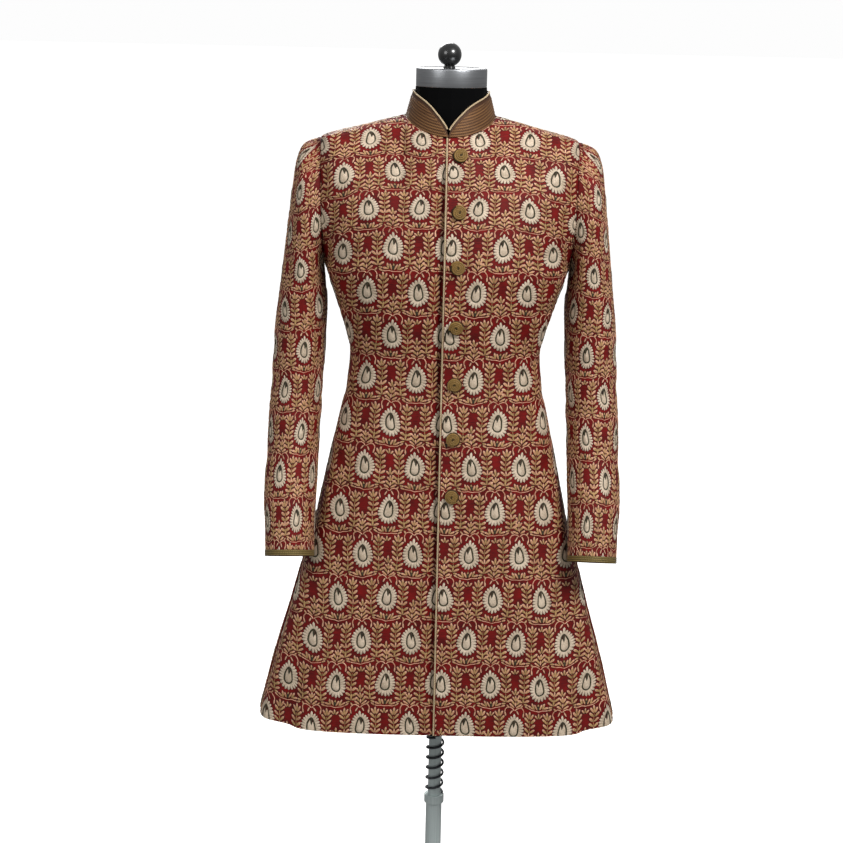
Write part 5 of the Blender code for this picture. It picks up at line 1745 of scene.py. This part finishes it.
BRUSHED_ROUND = (14, 14, 1500)
DRAWN_ALONG = (900, 900, 6)
brushed_aluminium = brushed_metal("brushed_aluminium", "#77797c", "#b6b8bb", 0.36, BRUSHED_ROUND, bump=0.1)
chromed_steel = brushed_metal("chromed_steel_tube", "#bccac8", "#e3edeb", 0.34, DRAWN_ALONG, metallic=0.35)
spring_steel = brushed_metal("oiled_spring_steel", "#3b3c3f", "#63656a", 0.38, (300, 300, 300))
black_lacquer = smooth_coat("black_lacquered_wood", "#060606", "#101011", 0.3, 300.0, 0.03, coat=0.7)
black_jersey = smooth_coat("black_cotton_jersey", "#010101", "#040405", 0.95, 900.0, 0.3, specular=0.1)
grey_enamel = smooth_coat("grey_stove_enamel", "#3c3d40", "#4a4b4e", 0.4, 700.0, 0.12, coat=0.25)
black_rubber = smooth_coat("black_rubber", "#0f0f10", "#1a1a1b", 0.75, 800.0, 0.2)

CAP_RADIUS = 0.0597
CAP_BOTTOM_Z = 1.5479
CAP_TOP_Z = 1.5789
CAP_EDGE = 0.0012
CAP_SHOULDER = 0.003  # the rounding of the cap's upper edge
KNOB_RADIUS = 0.0199
KNOB_X = -0.004
KNOB_STEM = 0.004
KNOB_STEM_RADIUS = 0.0085

cap_steps = [(CAP_RADIUS - CAP_EDGE, CAP_BOTTOM_Z)]
for turn_deg in (30, 60, 90):
    turn = math.radians(turn_deg)
    rim_radius = CAP_RADIUS - CAP_EDGE + CAP_EDGE * math.sin(turn)
    cap_steps.append((rim_radius, CAP_BOTTOM_Z + CAP_EDGE - CAP_EDGE * math.cos(turn)))
for turn_deg in (0, 22.5, 45, 67.5, 90):
    turn = math.radians(turn_deg)
    shoulder = (CAP_SHOULDER * math.cos(turn), CAP_SHOULDER * math.sin(turn))
    cap_steps.append((CAP_RADIUS - CAP_SHOULDER + shoulder[0], CAP_TOP_Z - CAP_SHOULDER + shoulder[1]))
cap_steps += [
    (CAP_RADIUS - CAP_SHOULDER - 2 * CAP_EDGE, CAP_TOP_Z),
    (CAP_RADIUS - CAP_SHOULDER - 3 * CAP_EDGE, CAP_TOP_Z - CAP_EDGE),
    (0.004, CAP_TOP_Z - CAP_EDGE),
]
turned_piece("neck_cap_brushed", cap_steps, 120, brushed_aluminium, COAT_BODY, "neck_cap")

knob_foot = CAP_TOP_Z - CAP_EDGE + SEAM_GAP
knob_middle = knob_foot + KNOB_STEM + KNOB_RADIUS * 0.93
neck_turn = math.asin(KNOB_STEM_RADIUS / KNOB_RADIUS)
knob_steps = [(KNOB_STEM_RADIUS * 1.25, knob_foot), (KNOB_STEM_RADIUS * 1.25, knob_foot + 0.001)]
for turn in np.linspace(math.pi - neck_turn, 0.03, 24):
    knob_steps.append((KNOB_RADIUS * math.sin(turn), knob_middle + KNOB_RADIUS * math.cos(turn)))
turned_piece(
    "cap_knob_lacquered", knob_steps, 64, black_lacquer, COAT_BODY, "cap_knob", off_x=KNOB_X
)


# %% Carried-over solids
def refinish(node, finish):
    """Gives a solid that stays its real finish."""
    solid = bpy.data.objects[node]
    for slot in solid.material_slots:
        slot.material = finish
    if not solid.material_slots:
        solid.data.materials.append(finish)


KEPT_SOLIDS = {
    "form_torso": black_jersey,
    "outer_tube": chromed_steel,
    "tube_collar": chromed_steel,
    "inner_rod": chromed_steel,
    "stop_ring": black_rubber,
}
for node, finish in KEPT_SOLIDS.items():
    refinish(node, finish)
print("refinished", len(KEPT_SOLIDS), "solids")

# %% [markdown]
# ## The stand
#
# A round enamelled base carries a chromed tube, and a thinner rod slides in it. A coil spring between the
# tube's collar and a rubber ring on the rod softens the drop when the form is let down. The spring is wire
# wound on a mandrel, so it is one cord along a helix. The tubes are already right and only need their
# finish.

# %% Base and spring
BASE_RADIUS = 0.195
TUBE_RADIUS = 0.0145
TUBE_TOP_Z = 0.249
TUBE_COLLAR_HEIGHT = 0.016
SPRING_RADIUS = 0.0149
SPRING_WIRE = 0.0021
SPRING_TURNS = 5.75
STOP_RING_BOTTOM_Z = 0.3833
BASE_SOCKET_Z = 0.010
base_steps = [
    (BASE_RADIUS - 0.002, 0.0),
    (BASE_RADIUS, 0.002),
    (BASE_RADIUS, 0.006),
    (BASE_RADIUS - 0.0012, 0.0078),
    (BASE_RADIUS - 0.004, 0.009),
    (0.040, 0.013),
    (0.032, 0.0148),
    (0.028, 0.018),
    (0.024, 0.050),
    (0.0234, 0.0514),
    (0.022, 0.052),
    (TUBE_RADIUS + SEAM_GAP, 0.052),
    (TUBE_RADIUS + SEAM_GAP, BASE_SOCKET_Z),
]
turned_piece("base_enamelled", base_steps, 144, grey_enamel, STAND_BODY, "base")

spring_low = TUBE_TOP_Z + TUBE_COLLAR_HEIGHT + 2 * SEAM_GAP + SPRING_WIRE
spring_high = STOP_RING_BOTTOM_Z - SEAM_GAP - SPRING_WIRE
spring_turns = np.linspace(0, math.tau * SPRING_TURNS, 210)
helix = np.stack(
    [
        SPRING_RADIUS * np.cos(spring_turns),
        SPRING_RADIUS * np.sin(spring_turns),
        np.linspace(spring_low, spring_high, len(spring_turns)),
    ],
    axis=1,
)
spring_coil = round_cord("spring_coil", helix, SPRING_WIRE, spring_steel, sides=12, body=STAND_BODY)
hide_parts("spring")
print("spring", round(spring_high - spring_low, 3), "m high")

# %% [markdown]
# ## What each piece of cloth was cut from
#
# Every sheet of cloth is declared with the flat size of what shows, and what holds it. The sizes are
# measured on the cloth's own grid, so a cut is never narrower than the panel that it makes. Its width is
# the longest row. Its length runs down from its highest point, which is the side of the neck or the top of
# the sleeve's cap. Its area is given, because no cut is a rectangle. A sleeve is a tube and counts all
# round, just below the armhole: the rings of its cap lean, so they would measure too wide. The embroidery
# goes with its cloth.

# %% Measuring the cuts
SLEEVE_WIDEST_Z = 1.235


def longest_row(grid):
    """Metres along the longest row of a grid."""
    return float(np.linalg.norm(np.diff(grid, axis=1), axis=-1).sum(axis=1).max())


def all_round(grid, z):
    """Metres round a sleeve's level section at this height."""
    columns = grid.transpose(1, 0, 2)
    ring = np.array([
        [np.interp(z, points[:, 2], points[:, axis]) for axis in range(3)] for points in columns
    ])
    return float(np.linalg.norm(ring - np.roll(ring, 1, axis=0), axis=1).sum())


# %% Declaring the cloth
for name, cloth in cloths.items():
    is_tube = name.startswith("sleeve")
    width = all_round(cloth.grid, SLEEVE_WIDEST_Z) if is_tube else longest_row(cloth.grid)
